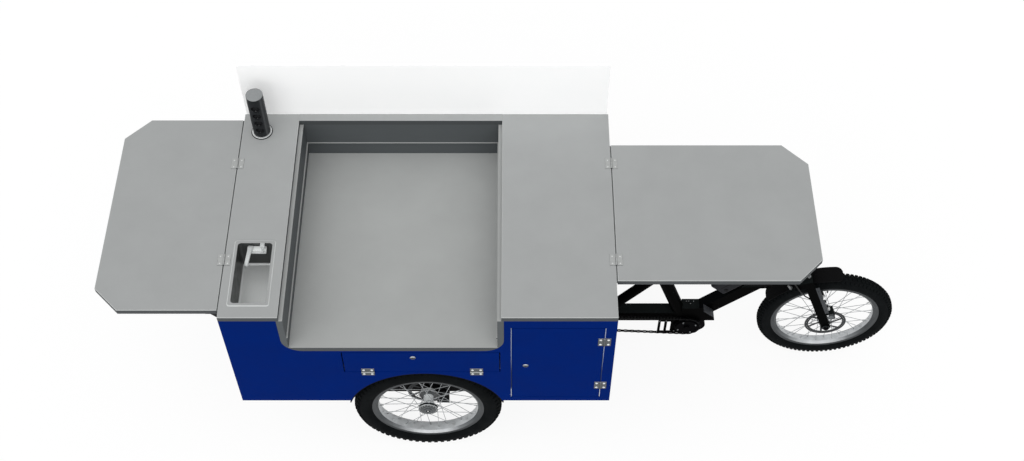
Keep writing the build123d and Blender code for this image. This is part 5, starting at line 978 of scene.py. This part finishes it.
# Motor: cast black housing with cooling fins, bolted to the plate under the main tube.
# A steel sprocket sits on its shaft behind a round spider, held by four cap screws and a nut.
motor_black = coat("cast_motor_black", (6, 6, 7), (11, 11, 12), 0.002, 0.4, 0.6, 0.00012, gloss=0.01)
sprocket_black = coat("oiled_sprocket", (4, 4, 5), (8, 8, 9), 0.003, 0.35, 0.5, gloss=0.006)
dress(motor_black, "motor")
dress(sprocket_black, "motor_sprocket")
motor_shaft = middle_of("motor_sprocket")
SHAFT_STANDS_OUT, SHAFT_NUT, SHAFT_NUT_HEIGHT = 0.0035, 0.0125, 0.0054
SPIDER_RIM, SPIDER_LIP = 0.0436, 0.0012
SPIDER_SCREWS, SPIDER_SHIFT, SPIDER_RING, SPIDER_SCREW = 4, 0.29, 0.0375, (0.0036, 0.0030, 14)
spider = Vector((motor_shaft.x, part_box("motor_sprocket")[0].y + SHAFT_STANDS_OUT, motor_shaft.z))
bm = bmesh.new()
turned(bm, [(0.0, SPIDER_RIM), (SPIDER_LIP, SPIDER_RIM - 0.0012), (SPIDER_LIP, SPIDER_RIM - 0.003),
            (0.0, SPIDER_RIM - 0.0042)], spider, -Y, 64, material=1)
rod(bm, spider, spider - Y * SHAFT_NUT_HEIGHT, SHAFT_NUT, 6, material=1)
for out in round_the_wheel(SPIDER_SCREWS, SPIDER_SHIFT):
    screw(bm, spider + out * SPIDER_RING, -Y, *SPIDER_SCREW)
make_piece("sprocket_screws", bm, [dull_zinc, sprocket_black], "motor_sprocket")
motor_low, motor_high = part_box("motor")
PLATE_PROUD, PLATE_BEHIND, PLATE_DROP = 0.0045, 0.112, 0.092
PLATE_BOLTS = ((0.005, 0.087), (0.030, 0.087), (0.058, 0.008), (0.066, 0.014), (0.100, 0.006))
PLATE_BOLT = (0.0030, 0.0022, 10)
plate_corner = Vector((motor_shaft.x - PLATE_BEHIND, motor_low.y - PLATE_PROUD,
                       MAIN_TUBE_BOTTOM - PLATE_DROP))
bm = bmesh.new()
for ahead, up in PLATE_BOLTS:
    screw(bm, plate_corner + X * ahead + Z * up, -Y, *PLATE_BOLT, recess=1)
make_piece("motor_plate_bolts", bm, [dull_zinc, screw_recess_shade], "bike")
FINS, FIN_PITCH, FIN_LENGTH = 9, 0.0086, 0.062
FIN_HALF, FIN_HEIGHT, FIN_BITE, FIN_ROUND = 0.0013, 0.0034, 0.0008, 0.0006
FINS_BEHIND, FINS_DOWN, FIN_FALL = 0.0055, 0.022, 0.72
fin_middle = Vector((motor_shaft.x - FINS_BEHIND, motor_high.y, motor_shaft.z - FINS_DOWN))
bm = bmesh.new()
for index in range(FINS):
    offset = (index - (FINS - 1) / 2) * FIN_PITCH
    half = math.sqrt((FIN_LENGTH / 2) ** 2 - (offset * FIN_FALL) ** 2)
    block(bm, fin_middle + Vector((-half, -FIN_BITE, offset - FIN_HALF)),
          fin_middle + Vector((half, FIN_HEIGHT, offset + FIN_HALF)), FIN_ROUND)
make_piece("motor_fins", bm, motor_black, "bike")


# Chain: half-inch bicycle chain round the motor sprocket and the drive shaft's sprocket.
# Narrow and wide pairs of steel plates alternate on rollers; it is oiled and dark.
chain_steel = coat("oiled_chain", (9, 9, 10), (16, 16, 17), 0.004, 0.3, 0.5, gloss=0.02)
CHAIN_PITCH, MOTOR_TEETH, SHAFT_TEETH = 0.0127, 26, 18
LINK_HEIGHT, LINK_GAUGE = 0.0088, 0.0011
INNER_PLATE_Y, OUTER_PLATE_Y = 0.0022, 0.0034
PIN_RADIUS, PIN_HALF = 0.0019, 0.0042
chain_y = middle_of("chain").y


def chain_pins():
    """Evenly spaced pin places round the two sprockets: two tangent runs joined by two arcs."""
    rear = Vector((axle.x, chain_y, axle.z))
    fore = Vector((motor_shaft.x, chain_y, motor_shaft.z))
    rear_radius = CHAIN_PITCH / (2 * math.sin(math.pi / SHAFT_TEETH))
    fore_radius = CHAIN_PITCH / (2 * math.sin(math.pi / MOTOR_TEETH))
    across = fore - rear
    heading = math.atan2(across.z, across.x)
    turn = math.acos((rear_radius - fore_radius) / across.length)
    low, high = heading - turn, heading + turn
    run = math.sqrt(across.length**2 - (fore_radius - rear_radius) ** 2)
    fore_arc = fore_radius * 2 * turn
    total = 2 * run + fore_arc + rear_radius * (2 * math.pi - 2 * turn)
    count = 2 * round(total / CHAIN_PITCH / 2)
    places = []
    for index in range(count):
        gone = total * index / count
        if gone < run:
            start, end = rear + wheelwise(low) * rear_radius, fore + wheelwise(low) * fore_radius
            places.append(start.lerp(end, gone / run))
        elif gone < run + fore_arc:
            places.append(fore + wheelwise(low + (gone - run) / fore_radius) * fore_radius)
        elif gone < 2 * run + fore_arc:
            start, end = fore + wheelwise(high) * fore_radius, rear + wheelwise(high) * rear_radius
            places.append(start.lerp(end, (gone - run - fore_arc) / run))
        else:
            places.append(rear + wheelwise(high + (gone - 2 * run - fore_arc) / rear_radius) * rear_radius)
    return places


pins = chain_pins()
bm = bmesh.new()
for index, (pin, ahead) in enumerate(zip(pins, pins[1:] + pins[:1])):
    along = ahead - pin
    turn = Matrix.Rotation(-math.atan2(along.z, along.x), 3, "Y")
    for side in (-1, 1):
        made = bmesh.ops.create_cone(bm, cap_ends=True, segments=8, radius1=0.5, radius2=0.5, depth=1.0,
                                     matrix=Matrix.Rotation(math.pi / 2, 4, "X"))["verts"]
        bmesh.ops.scale(bm, vec=(along.length + LINK_HEIGHT * 0.9, LINK_GAUGE, LINK_HEIGHT), verts=made)
        lay(bm, made, turn, (pin + ahead) / 2 + Y * side * (INNER_PLATE_Y if index % 2 else OUTER_PLATE_Y))
    rod(bm, pin - Y * PIN_HALF, pin + Y * PIN_HALF, PIN_RADIUS, 8)
make_piece("chain_links", bm, chain_steel, "bike", 35, ("chain",))


# Battery: a black pack of two clipped half shells on a rail along the down tube.
# A key lock, a rubber charging flap and five charge lamps sit in its side, and a dark strip along its seam.
battery_shell = coat("battery_shell", (30, 31, 34), (39, 40, 43), 0.0012, 0.45, 0.6, 0.00008, gloss=0.05)
lamp_grey = coat("dark_charge_lamp", (58, 60, 61), (70, 72, 73), 0.002, 0.3, 0.4, gloss=0.1)
dress(battery_shell, "battery")
DOWN_FOOT = Vector((worktop_x + 0.405, 0, MAIN_TUBE_TOP + 0.030))
HEAD_MIDDLE = Vector((1.0203, 0, 0.6268))
down_along = (HEAD_MIDDLE - DOWN_FOOT).normalized()
down_off = Vector((-down_along.z, 0, down_along.x))
down_turn = Matrix((down_along, Y, down_off)).transposed()
BATTERY_START, BATTERY_END, BATTERY_HALF = 0.104, 0.344, 0.025
BATTERY_FOOT, BATTERY_TOP = 0.039, 0.119
SEAM_HALF, SEAM_ROUND = Vector((0.100, 0.0007, 0.0016)), 0.0004
KEY_LOCK = [(-0.001, 0.0085), (0.0012, 0.0082), (0.0018, 0.007), (0.0010, 0.006), (0.0010, 0.0)]
CHARGE_FLAP = [(-0.001, 0.0115), (0.0010, 0.0112), (0.0016, 0.0100), (0.0016, 0.0)]
LAMP = [(-0.0006, 0.0022), (0.0005, 0.0019), (0.0007, 0.0)]
LOCK_ALONG, LOCK_UP, FLAP_ALONG, FLAP_UP = 0.030, 0.020, 0.034, 0.022
KEYHOLE_BACK, KEYHOLE_FRONT, KEYHOLE_RADIUS = 0.0009, 0.0013, 0.0018
LAMPS, LAMP_PITCH, LAMP_DOWN = 5, 0.01, 0.016


def on_battery(along, off, side=-1):
    """Point on the pack's side, so far along the down tube and off its axis."""
    return DOWN_FOOT + down_along * along + down_off * off + Y * side * BATTERY_HALF


pack_middle = (BATTERY_START + BATTERY_END) / 2
bm = bmesh.new()
for side in (-1, 1):
    strip = bmesh.new()
    block(strip, -SEAM_HALF, SEAM_HALF, SEAM_ROUND, 1)
    lay(strip, strip.verts, down_turn, on_battery(pack_middle, (BATTERY_FOOT + BATTERY_TOP) / 2, side))
    join(bm, strip)
lock = on_battery(BATTERY_START + LOCK_ALONG, BATTERY_FOOT + LOCK_UP)
turned(bm, KEY_LOCK, lock, -Y, 28, material=1)
rod(bm, lock - Y * KEYHOLE_BACK, lock - Y * KEYHOLE_FRONT, KEYHOLE_RADIUS, 12, material=1)
charge_flap = on_battery(BATTERY_END - FLAP_ALONG, BATTERY_FOOT + FLAP_UP)
turned(bm, CHARGE_FLAP, charge_flap, -Y, 28, material=1)
for index in range(LAMPS):
    lamp = on_battery(pack_middle + (index - LAMPS // 2) * LAMP_PITCH, BATTERY_TOP - LAMP_DOWN)
    turned(bm, LAMP, lamp, -Y, 12, material=2)
make_piece("battery_fittings", bm, [battery_shell, black_and_hole_shade, lamp_grey], "bike")


# Down tube tab: a small grey steel plate welded across the down tube's foot on the near side.
# It is sheared from flat strip, and its edges are broken with a file.
TAB_AT, TAB_THICKNESS, TAB_ROUND = 0.006, 0.003, 0.0009
TAB_LOW, TAB_HIGH, TAB_REACH = -0.015, 0.041, 0.033
plate_grey = coat("grey_tab_plate", (58, 60, 63), (70, 72, 75), 0.004, 0.3, 0.45, gloss=0.1)
bm = bmesh.new()
block(bm, (TAB_AT, -MAIN_TUBE_HALF - TAB_REACH, TAB_LOW),
      (TAB_AT + TAB_THICKNESS, -MAIN_TUBE_HALF, TAB_HIGH), TAB_ROUND)
lay(bm, bm.verts, down_turn, DOWN_FOOT)
make_piece("down_tube_tab", bm, plate_grey, "bike")


# Fork and mudguard: aluminium fork coated black, a bent black plastic guard over the tyre.
# Flanged nuts hold the axle, cap screws the crown and the guard; the brake cable runs in a black sheath.
dress(black_shell, "mudguard")
dress(coat("black_cable_sheath", (10, 10, 11), (18, 18, 19), 0.002, 0.35, 0.5, gloss=0.08), "brake_cable")
HEAD_LEAN = math.radians(21)
FORK_TURN = Matrix.Rotation(-HEAD_LEAN, 3, "Y")
steer_across = Vector((math.cos(HEAD_LEAN), 0, math.sin(HEAD_LEAN)))
steer_along = Vector((-math.sin(HEAD_LEAN), 0, math.cos(HEAD_LEAN)))
AXLE_AHEAD = 0.030
front_axle = middle_of("front_rim")
steer_foot = front_axle - steer_across * AXLE_AHEAD
fork_low, fork_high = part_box("fork")
NUT_RADIUS, NUT_HEIGHT, NUT_SHY = 0.0112, 0.0064, 0.0004
WASHER_RADIUS, WASHER_UNDER, WASHER_OVER = 0.014, 0.0002, 0.0012
bm = bmesh.new()
for side, face in ((-1, fork_low.y), (1, fork_high.y)):
    out = Y * side
    nut = Vector((front_axle.x, face, front_axle.z)) - out * NUT_HEIGHT
    rod(bm, nut, nut + out * (NUT_HEIGHT - NUT_SHY), NUT_RADIUS, 6)
    rod(bm, nut - out * WASHER_UNDER, nut + out * WASHER_OVER, WASHER_RADIUS, 28)
make_piece("fork_nuts", bm, rotor_steel, "steering")
CROWN_TOP, CROWN_BOLT_AHEAD, CROWN_BOLT_ASIDE = 0.335, 0.036, 0.035
CROWN_BOLT = [(0.0, 0.0072), (0.006, 0.0072), (0.0072, 0.006), (0.0072, 0.0034), (0.004, 0.003),
              (0.004, 0.0)]
GUARD_OUTER, GUARD_BOLT_ASIDE = 0.280, 0.026
GUARD_BOLT = [(0.0, 0.0075), (0.0014, 0.0072), (0.0014, 0.0046), (0.018, 0.0046), (0.0192, 0.0036),
              (0.0192, 0.0)]
guard_out = wheelwise(math.radians(127))
crown = steer_foot + steer_across * CROWN_BOLT_AHEAD + steer_along * CROWN_TOP
guard = front_axle + guard_out * GUARD_OUTER
bm = bmesh.new()
for side in (-Y, Y):
    turned(bm, CROWN_BOLT, crown + side * CROWN_BOLT_ASIDE, steer_along, 24)
    turned(bm, GUARD_BOLT, guard + side * GUARD_BOLT_ASIDE, guard_out, 20)
make_piece("crown_and_guard_bolts", bm, dull_zinc, "steering")


# Hose clamp and bracket strip: a bright block clips the brake hose to the near fork leg with one screw.
# Above it a flat strip of dark grey steel runs along the leg, held by a screw near each end.
HOSE_CLAMP_LOW, HOSE_CLAMP_HIGH = (0.0, -0.0075, -0.0070), (0.0235, 0.0075, 0.0070)
HOSE_SCREW_AT, HOSE_SCREW = (0.0150, -0.0075, 0.0), (0.0034, 0.0020)
CLAMP_AHEAD, CLAMP_UP, CLAMP_ASIDE, CLAMP_ROUND = 0.047, 0.206, 0.056, 0.0016
bm = bmesh.new()
block(bm, HOSE_CLAMP_LOW, HOSE_CLAMP_HIGH, CLAMP_ROUND)
screw(bm, HOSE_SCREW_AT, -Y, *HOSE_SCREW, recess=1)
hose_place = steer_foot + steer_across * CLAMP_AHEAD + steer_along * CLAMP_UP - Y * CLAMP_ASIDE
lay(bm, bm.verts, FORK_TURN, hose_place)
make_piece("hose_clamp", bm, [screw_steel, screw_recess_shade], "steering")
strip_grey = coat("dark_bracket_strip", (52, 54, 57), (66, 68, 71), 0.004, 0.35, 0.5, gloss=0.1)
STRIP_AHEAD, STRIP_REACH, STRIP_EDGE = 0.0466, 0.0150, 0.0008
STRIP_LOW, STRIP_HIGH = 0.098, 0.288
STRIP_NEAR, STRIP_FAR = -0.0636, -0.0604
STRIP_SCREW_SHARES, STRIP_SCREW = (0.12, 0.88), (0.0034, 0.0018)
bm = bmesh.new()
block(bm, (0.0, STRIP_NEAR, STRIP_LOW), (STRIP_REACH, STRIP_FAR, STRIP_HIGH), STRIP_EDGE)
for share in STRIP_SCREW_SHARES:
    height = STRIP_LOW + (STRIP_HIGH - STRIP_LOW) * share
    screw(bm, (STRIP_REACH / 2, STRIP_NEAR, height), -Y, *STRIP_SCREW, recess=1)
lay(bm, bm.verts, FORK_TURN, steer_foot * Vector((1, 0, 1)) + steer_across * STRIP_AHEAD)
make_piece("fork_bracket_strip", bm, [strip_grey, screw_recess_shade], "steering")


# Front caliper: a cast grey housing on the near fork leg, with a turned piston cap and two plated bolts.
# A screwed adjuster takes the cable in at its top.
caliper_grey = coat("cast_caliper", (46, 48, 50), (70, 72, 74), 0.004, 0.3, 0.45, metallic=0.3, gloss=0.15)
caliper_cap = coat("turned_caliper_cap", (84, 87, 89), (108, 111, 113), 0.003, 0.3, 0.45, metallic=0.2,
                   gloss=0.15)
CALIPER_AHEAD, CALIPER_UP, CALIPER_IN = 0.0324, 0.0731, 0.007
CALIPER_HALF_LENGTH, CALIPER_HALF_HEIGHT, CALIPER_ROUND = 0.0142, 0.0192, 0.0026
CALIPER_PROUD, CALIPER_BITE = 0.0034, 0.0006
PISTON_CAP = [(0.0, 0.0118), (0.0044, 0.0112), (0.0054, 0.0098), (0.0054, 0.006), (0.0044, 0.0052),
              (0.0044, 0.0)]
CALIPER_BOLTS, CALIPER_BOLT_BEHIND, CALIPER_BOLT = (-0.0155, 0.0155), 0.008, (0.0036, 0.0022)
BOLT_REACH = 0.0042
ADJUSTER = [(-0.001, 0.0), (-0.001, 0.0052), (0.0045, 0.0052), (0.0045, 0.0042), (0.0058, 0.0042),
            (0.0058, 0.0060), (0.0110, 0.0060), (0.0110, 0.0042), (0.0190, 0.0036), (0.0190, 0.0026)]
ADJUSTER_UP, CABLE_ACROSS = 0.020, -0.0435
caliper = front_axle + steer_across * CALIPER_AHEAD + steer_along * CALIPER_UP
caliper_face = caliper + Y * (fork_low.y + CALIPER_IN)
bm = bmesh.new()
block(bm, (-CALIPER_HALF_LENGTH, -CALIPER_PROUD, -CALIPER_HALF_HEIGHT),
      (CALIPER_HALF_LENGTH, CALIPER_BITE, CALIPER_HALF_HEIGHT), CALIPER_ROUND)
lay(bm, bm.verts, FORK_TURN, caliper_face)
turned(bm, PISTON_CAP, caliper_face, -Y, 36, material=3)
for step in CALIPER_BOLTS:
    bolt = caliper_face + steer_along * step - steer_across * CALIPER_BOLT_BEHIND - Y * CALIPER_PROUD
    screw(bm, bolt, -Y, *CALIPER_BOLT, recess=2)
    for face in bm.faces:
        if face.material_index == 0 and (face.calc_center_median() - bolt).length < BOLT_REACH:
            face.material_index = 1
turned(bm, ADJUSTER, caliper + steer_along * ADJUSTER_UP + Y * CABLE_ACROSS, steer_along, 24, material=1)
make_piece("front_caliper_dressing", bm, [caliper_grey, screw_steel, black_and_hole_shade, caliper_cap], "steering")


# Handlebar grips: ribbed black rubber sleeves pushed over the bar's ends.
# A plug closes each end, and a smooth collar butts against the lever clamp.
grip_rubber = rubber("grip_rubber", (15, 15, 16), (24, 24, 25))
GRIP_LENGTH, GRIP_RADIUS, GRIP_HALF = 0.078, 0.0162, 0.222
GRIP_RIBS, RIB_START, RIB_RISE = 13, 0.005, 0.0014
GRIP_COLLAR_START, GRIP_COLLAR_END = GRIP_LENGTH - 0.0045, GRIP_LENGTH - 0.0004
GRIP_COLLAR = GRIP_RADIUS + 0.0022
STEM_TOP, BAR_RISE = 0.5736, 0.045
bar_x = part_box("handlebar")[0].x
bar_z = steer_foot.z + STEM_TOP * math.cos(HEAD_LEAN) + BAR_RISE
grip_dir = Vector((0.130, 0, -0.003)).normalized()
pitch = (GRIP_LENGTH - 0.012) / GRIP_RIBS
profile = [(-0.0002, 0.0), (-0.0002, GRIP_RADIUS - 0.002), (0.0012, GRIP_RADIUS)]
for index in range(GRIP_RIBS):
    start = RIB_START + index * pitch
    profile += [(start, GRIP_RADIUS + 0.0001), (start + pitch * 0.3, GRIP_RADIUS + RIB_RISE),
                (start + pitch * 0.65, GRIP_RADIUS + RIB_RISE), (start + pitch * 0.95, GRIP_RADIUS + 0.0001)]
profile += [(GRIP_COLLAR_START, GRIP_COLLAR), (GRIP_COLLAR_END, GRIP_COLLAR),
            (GRIP_COLLAR_END, GRIP_RADIUS - 0.004)]
for name, side in (("right_grip", -1), ("left_grip", 1)):
    bm = bmesh.new()
    turned(bm, profile, Vector((bar_x, side * GRIP_HALF, bar_z)), grip_dir, 36)
    make_piece(name, bm, grip_rubber, "steering")


# Stem clamp and headset: a forged clamp with a four-bolt cap holds the bar on the stem.
# Two turned rings close the head tube over its bearings, and a screw goes through each lever's pivot.
HEAD_LOW, HEAD_HIGH = 0.3403, 0.4643
HEADSET_RING = [(0.0002, 0.0152), (0.0002, 0.0222), (-0.0010, 0.0232), (-0.0052, 0.0232), (-0.0064, 0.0222)]
bm = bmesh.new()
for place, out in ((HEAD_LOW, -1), (HEAD_HIGH, 1)):
    turned(bm, HEADSET_RING, steer_foot + steer_along * place, steer_along * out, 40)
make_piece("headset_rings", bm, bright_steel, "bike")
STEM_HALF, STEM_ROUND = Vector((0.0165, 0.021, 0.0165)), 0.004
STEM_BOLT_Y, STEM_BOLT_Z, STEM_BOLT = 0.014, 0.0115, (0.0042, 0.003)
PIVOT_ALONG, PIVOT_DOWN, PIVOT_ASIDE, PIVOT_SCREW = 0.088, 0.006, 0.0084, (0.0046, 0.0024)
bm = bmesh.new()
block(bm, -STEM_HALF, STEM_HALF, STEM_ROUND)
for y in (-STEM_BOLT_Y, STEM_BOLT_Y):
    for z in (-STEM_BOLT_Z, STEM_BOLT_Z):
        screw(bm, (STEM_HALF.x, y, z), X, *STEM_BOLT, recess=1)
lay(bm, bm.verts, FORK_TURN, steer_foot + steer_along * STEM_TOP)
pivot_x = bar_x + grip_dir.x * PIVOT_ALONG
pivot_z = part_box("right_brake_lever")[1].z - PIVOT_DOWN
for side in (-1, 1):
    for out in (-1, 1):
        screw(bm, (pivot_x, side * GRIP_HALF + out * PIVOT_ASIDE, pivot_z), Y * out, *PIVOT_SCREW, recess=1)
make_piece("stem_clamp_and_pivots", bm, [frame_coat, black_and_hole_shade], "steering")


# Saddle: a foam pad under a stretched black cover on a moulded base.
# It is widest at the tail and narrow at the nose, with a shallow channel along its middle.
saddle_cover = blank_finish("black_saddle_cover", 0.0, 0.3)
rub = grain_of(saddle_cover, 0.04)
pebbles = add_node(saddle_cover, "TexVoronoi", feature="SMOOTH_F1", Scale=420.0, Smoothness=0.6,
                   Vector=add_node(saddle_cover, "TexCoord").outputs["Object"])
feed(saddle_cover, "Base Color", ramp(saddle_cover, rub, ((0.35, 20, 20, 21), (0.75, 38, 38, 39))))
feed(saddle_cover, "Roughness", between(saddle_cover, rub, 0.42, 0.58))
raise_grain(saddle_cover, pebbles.outputs["Distance"], 0.0003, 0.5)
TAIL_RADIUS, TAIL_SPREAD, NOSE_RADIUS = 0.042, 0.038, 0.022
RING_POINTS, BENDS = 28, (0.2, 0.35, 0.5, 0.65, 0.8)
WAIST_PINCH, WAIST_AT, WAIST_SPREAD = 0.2, 0.62, 0.3
saddle_low, saddle_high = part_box("saddle")
tail_x, nose_x = saddle_low.x + TAIL_RADIUS, saddle_high.x - NOSE_RADIUS


def along_saddle(vert):
    """Share of the way from the tail circles to the nose circle."""
    return (vert.co.x - tail_x) / (nose_x - tail_x)


def closed_hull(*rings):
    """Closed form round rings of (height, shrink), two tail circles and a nose circle, with a waist."""
    circles = ((tail_x, -TAIL_SPREAD, TAIL_RADIUS), (tail_x, TAIL_SPREAD, TAIL_RADIUS),
               (nose_x, 0, NOSE_RADIUS))
    bm = bmesh.new()
    for z, shrink in rings:
        for x, y, radius in circles:
            place = Matrix.Translation((x, y, z))
            bmesh.ops.create_circle(bm, segments=RING_POINTS, radius=radius - shrink, matrix=place)
    hull = bmesh.ops.convex_hull(bm, input=bm.verts)
    loose = hull["geom_interior"] + hull["geom_unused"]
    loose = [item for item in loose if isinstance(item, bmesh.types.BMVert)]
    bmesh.ops.delete(bm, geom=loose, context="VERTS")
    for share in BENDS:
        cut = tail_x + (nose_x - tail_x) * share
        bmesh.ops.bisect_plane(bm, geom=bm.verts[:] + bm.edges[:] + bm.faces[:], plane_co=(cut, 0, 0),
                               plane_no=X)
    for vert in bm.verts:
        vert.co.y *= 1 - WAIST_PINCH * math.exp(-((along_saddle(vert) - WAIST_AT) / WAIST_SPREAD) ** 2)
    return bm


def as_evaluated(piece):
    """New mesh with a piece's shape after its modifiers."""
    return bpy.data.meshes.new_from_object(piece.evaluated_get(bpy.context.evaluated_depsgraph_get()))


BASE_RISE, BASE_RINGS = 0.012, ((0.0006, 0.010), (0.005, 0.0015), (0.012, 0.0))
base_rings = [(saddle_low.z + up, shrink) for up, shrink in BASE_RINGS]
make_piece("saddle_base", closed_hull(*base_rings), black_shell, "seat", 40)
PAD_LIFT, PAD_LOWER, PAD_UPPER = 0.0004, ((0.0, 0.004), (0.012, 0.0028)), ((0.022, 0.009), (0.010, 0.020))
VOXEL, STAPLED = 0.005, 0.007
SWELL_PRESSURE, SWELL_CAP, SWELL_FRAMES = 4.0, 0.008, 20
CHANNEL_DEPTH, CHANNEL_HALF, CHANNEL_AT, CHANNEL_SPREAD = 0.0035, 0.007, 0.45, 0.4
UPWARD, PAD_FILL = 0.5, 0.8
pad_foot = saddle_low.z + BASE_RISE + PAD_LIFT
pad_rings = [(pad_foot + up, shrink) for up, shrink in PAD_LOWER]
pad_rings += [(saddle_high.z - down, shrink) for down, shrink in PAD_UPPER]
bm = closed_hull(*pad_rings)
bmesh.ops.recalc_face_normals(bm, faces=bm.faces)
pad_blank = add_object("saddle_pad_blank", bm)
remesh = pad_blank.modifiers.new("even_cloth", "REMESH")
remesh.mode = "VOXEL"
remesh.voxel_size = VOXEL
pad_even = as_evaluated(pad_blank)
pad_blank.modifiers.clear()
pad_blank.data = pad_even
held = pad_blank.vertex_groups.new(name="stapled_edge")
held.add([vert.index for vert in pad_even.vertices if vert.co.z < pad_foot + STAPLED], 1.0, "REPLACE")
cloth = pad_blank.modifiers.new("cover", "CLOTH")
cloth.settings.use_pressure = True
cloth.settings.uniform_pressure_force = SWELL_PRESSURE
cloth.settings.vertex_group_mass = held.name
cloth.settings.effector_weights.gravity = 0.0
cloth.point_cache.frame_start = 1
cloth.point_cache.frame_end = SWELL_FRAMES
for frame_number in range(1, SWELL_FRAMES + 1):
    bpy.context.scene.frame_set(frame_number)
swollen = as_evaluated(pad_blank)
moves = [after.co - vert.co for vert, after in zip(pad_even.vertices, swollen.vertices)]
bpy.data.meshes.remove(swollen)
pad_blank.modifiers.clear()
bpy.context.scene.frame_set(1)
for vert, move in zip(pad_even.vertices, moves):
    vert.co += move * min(1.0, SWELL_CAP / max(move.length, 1e-9))
bm = bmesh.new()
bm.from_mesh(pad_even)
bmesh.ops.smooth_vert(bm, verts=bm.verts, factor=0.5, use_axis_x=True, use_axis_y=True, use_axis_z=True)
for vert in bm.verts:
    if vert.normal.z > UPWARD:
        fade = math.exp(-((along_saddle(vert) - CHANNEL_AT) / CHANNEL_SPREAD) ** 4)
        vert.co.z -= CHANNEL_DEPTH * fade * math.exp(-(vert.co.y / CHANNEL_HALF) ** 2)
    vert.co.z = min(vert.co.z, saddle_high.z - PAD_LIFT)
pad = make_piece("saddle_pad", bm, saddle_cover, "seat", 180, ("saddle",))
bpy.data.objects.remove(pad_blank)
fine_cover = pad.modifiers.new("fine_cover", "SUBSURF")
fine_cover.levels = 1
fine_cover.render_levels = 1


# Piping and post clamp: a round cord sewn along the cover's lower edge hides its staples.
# A two-bolt head on the post, coated black, grips the base from below.
PIPING_HALF, PIPING_OUT, PIPING_ROUND, PIPING_CORNER = 0.0016, 0.0004, 0.0013, 0.8
piping_z = saddle_low.z + BASE_RISE
bm = closed_hull((piping_z - PIPING_HALF, -PIPING_OUT), (piping_z + PIPING_HALF, -PIPING_OUT))
edges = [edge for edge in bm.edges if len(edge.link_faces) == 2 and edge.calc_face_angle(0) > PIPING_CORNER]
bmesh.ops.bevel(bm, geom=edges, offset=PIPING_ROUND, affect="EDGES", segments=3, profile=0.5, material=-1)
make_piece("saddle_piping", bm, saddle_cover, "seat", 60)
POST_RISE, POST_HEAD_DOWN = 0.160, 0.0075
POST_HEAD = [(-0.022, 0.0152), (-0.022, 0.0184), (-0.020, 0.0196), (-0.002, 0.0196), (-0.002, 0.0152),
             (-0.022, 0.0152)]
POST_BOLT_DOWN, POST_BOLT_ASIDE, POST_BOLT = 0.018, 0.0194, (0.0042, 0.003)
post_top = seat_top + seat_up * POST_RISE
bm = bmesh.new()
turned(bm, POST_HEAD, post_top - seat_up * POST_HEAD_DOWN, seat_up, 40)
for out in (-Y, Y):
    screw(bm, post_top - seat_up * POST_BOLT_DOWN + out * POST_BOLT_ASIDE, out, *POST_BOLT, recess=1)
make_piece("saddle_clamp", bm, [frame_coat, black_and_hole_shade], "seat")


# Studio: a white floor and backdrop, even light from all round and one broad soft key from the front left.
# The floor and the sky show white to the eye and to reflections, and the floor keeps the soft shadow.
def seen_directly(owner):
    """1 for what the camera sees, straight or by reflection or through glass."""
    path = add_node(owner, "LightPath").outputs
    plain = maths(owner, "MAXIMUM", path["Is Camera Ray"], path["Is Glossy Ray"])
    return maths(owner, "MAXIMUM", plain, path["Is Transmission Ray"])


WHITE, FLOOR_GREY, SKY_GREY = (1, 1, 1, 1), (0.8, 0.8, 0.8, 1), (0.55, 0.55, 0.55, 1)
FLOOR_SIZE, SHADOW_SHARE = 60.0, 0.10
floor_white = bpy.data.materials.new("white_studio_floor")
floor_white.use_nodes = True
floor_nodes = floor_white.node_tree.nodes
floor_link = floor_white.node_tree.links.new
floor_nodes.remove(floor_nodes["Principled BSDF"])
matt = add_node(floor_white, "BsdfDiffuse", Color=FLOOR_GREY)
shadowed = add_node(floor_white, "BsdfDiffuse", Color=WHITE)
glow = add_node(floor_white, "Emission", Color=WHITE, Strength=1.0)
white = add_node(floor_white, "MixShader", Fac=SHADOW_SHARE)
shown = add_node(floor_white, "MixShader", Fac=seen_directly(floor_white))
for mix, first, second in ((white, glow, shadowed), (shown, matt, white)):
    floor_link(first.outputs[0], mix.inputs[1])
    floor_link(second.outputs[0], mix.inputs[2])
floor_link(shown.outputs[0], floor_nodes["Material Output"].inputs["Surface"])
bm = bmesh.new()
bmesh.ops.create_grid(bm, x_segments=1, y_segments=1, size=FLOOR_SIZE / 2)
add_object("studio_floor", bm, [floor_white])
sky = bpy.data.worlds.new("studio_sky")
sky.use_nodes = True
bpy.context.scene.world = sky
light_level = add_node(sky, "Mix", data_type="RGBA", Factor=seen_directly(sky), A=SKY_GREY, B=WHITE)
sky.node_tree.links.new(light_level.outputs["Result"], sky.node_tree.nodes["Background"].inputs["Color"])
KEY_STRENGTH, KEY_SPREAD, KEY_WAY = 2.0, math.radians(95), Vector((0.16, 0.58, -0.8))
key = bpy.data.objects.new("key_light", bpy.data.lights.new("key_light", "SUN"))
key.data.energy = KEY_STRENGTH
key.data.angle = KEY_SPREAD
key.rotation_mode = "QUATERNION"
key.rotation_quaternion = KEY_WAY.to_track_quat("-Z", "Y")
bpy.context.scene.collection.objects.link(key)
CAMERA_PLACE, CAMERA_TILT = (-0.0325, -2.974, 5.0053), math.radians(35.43)
camera = bpy.data.objects.new("camera", bpy.data.cameras.new("camera"))
camera.location = CAMERA_PLACE
camera.rotation_euler = (CAMERA_TILT, 0, 0)
camera.data.lens = 50
camera.data.sensor_width = 36
bpy.context.scene.collection.objects.link(camera)
bpy.context.scene.camera = camera
bpy.context.scene.view_settings.view_transform = "Standard"
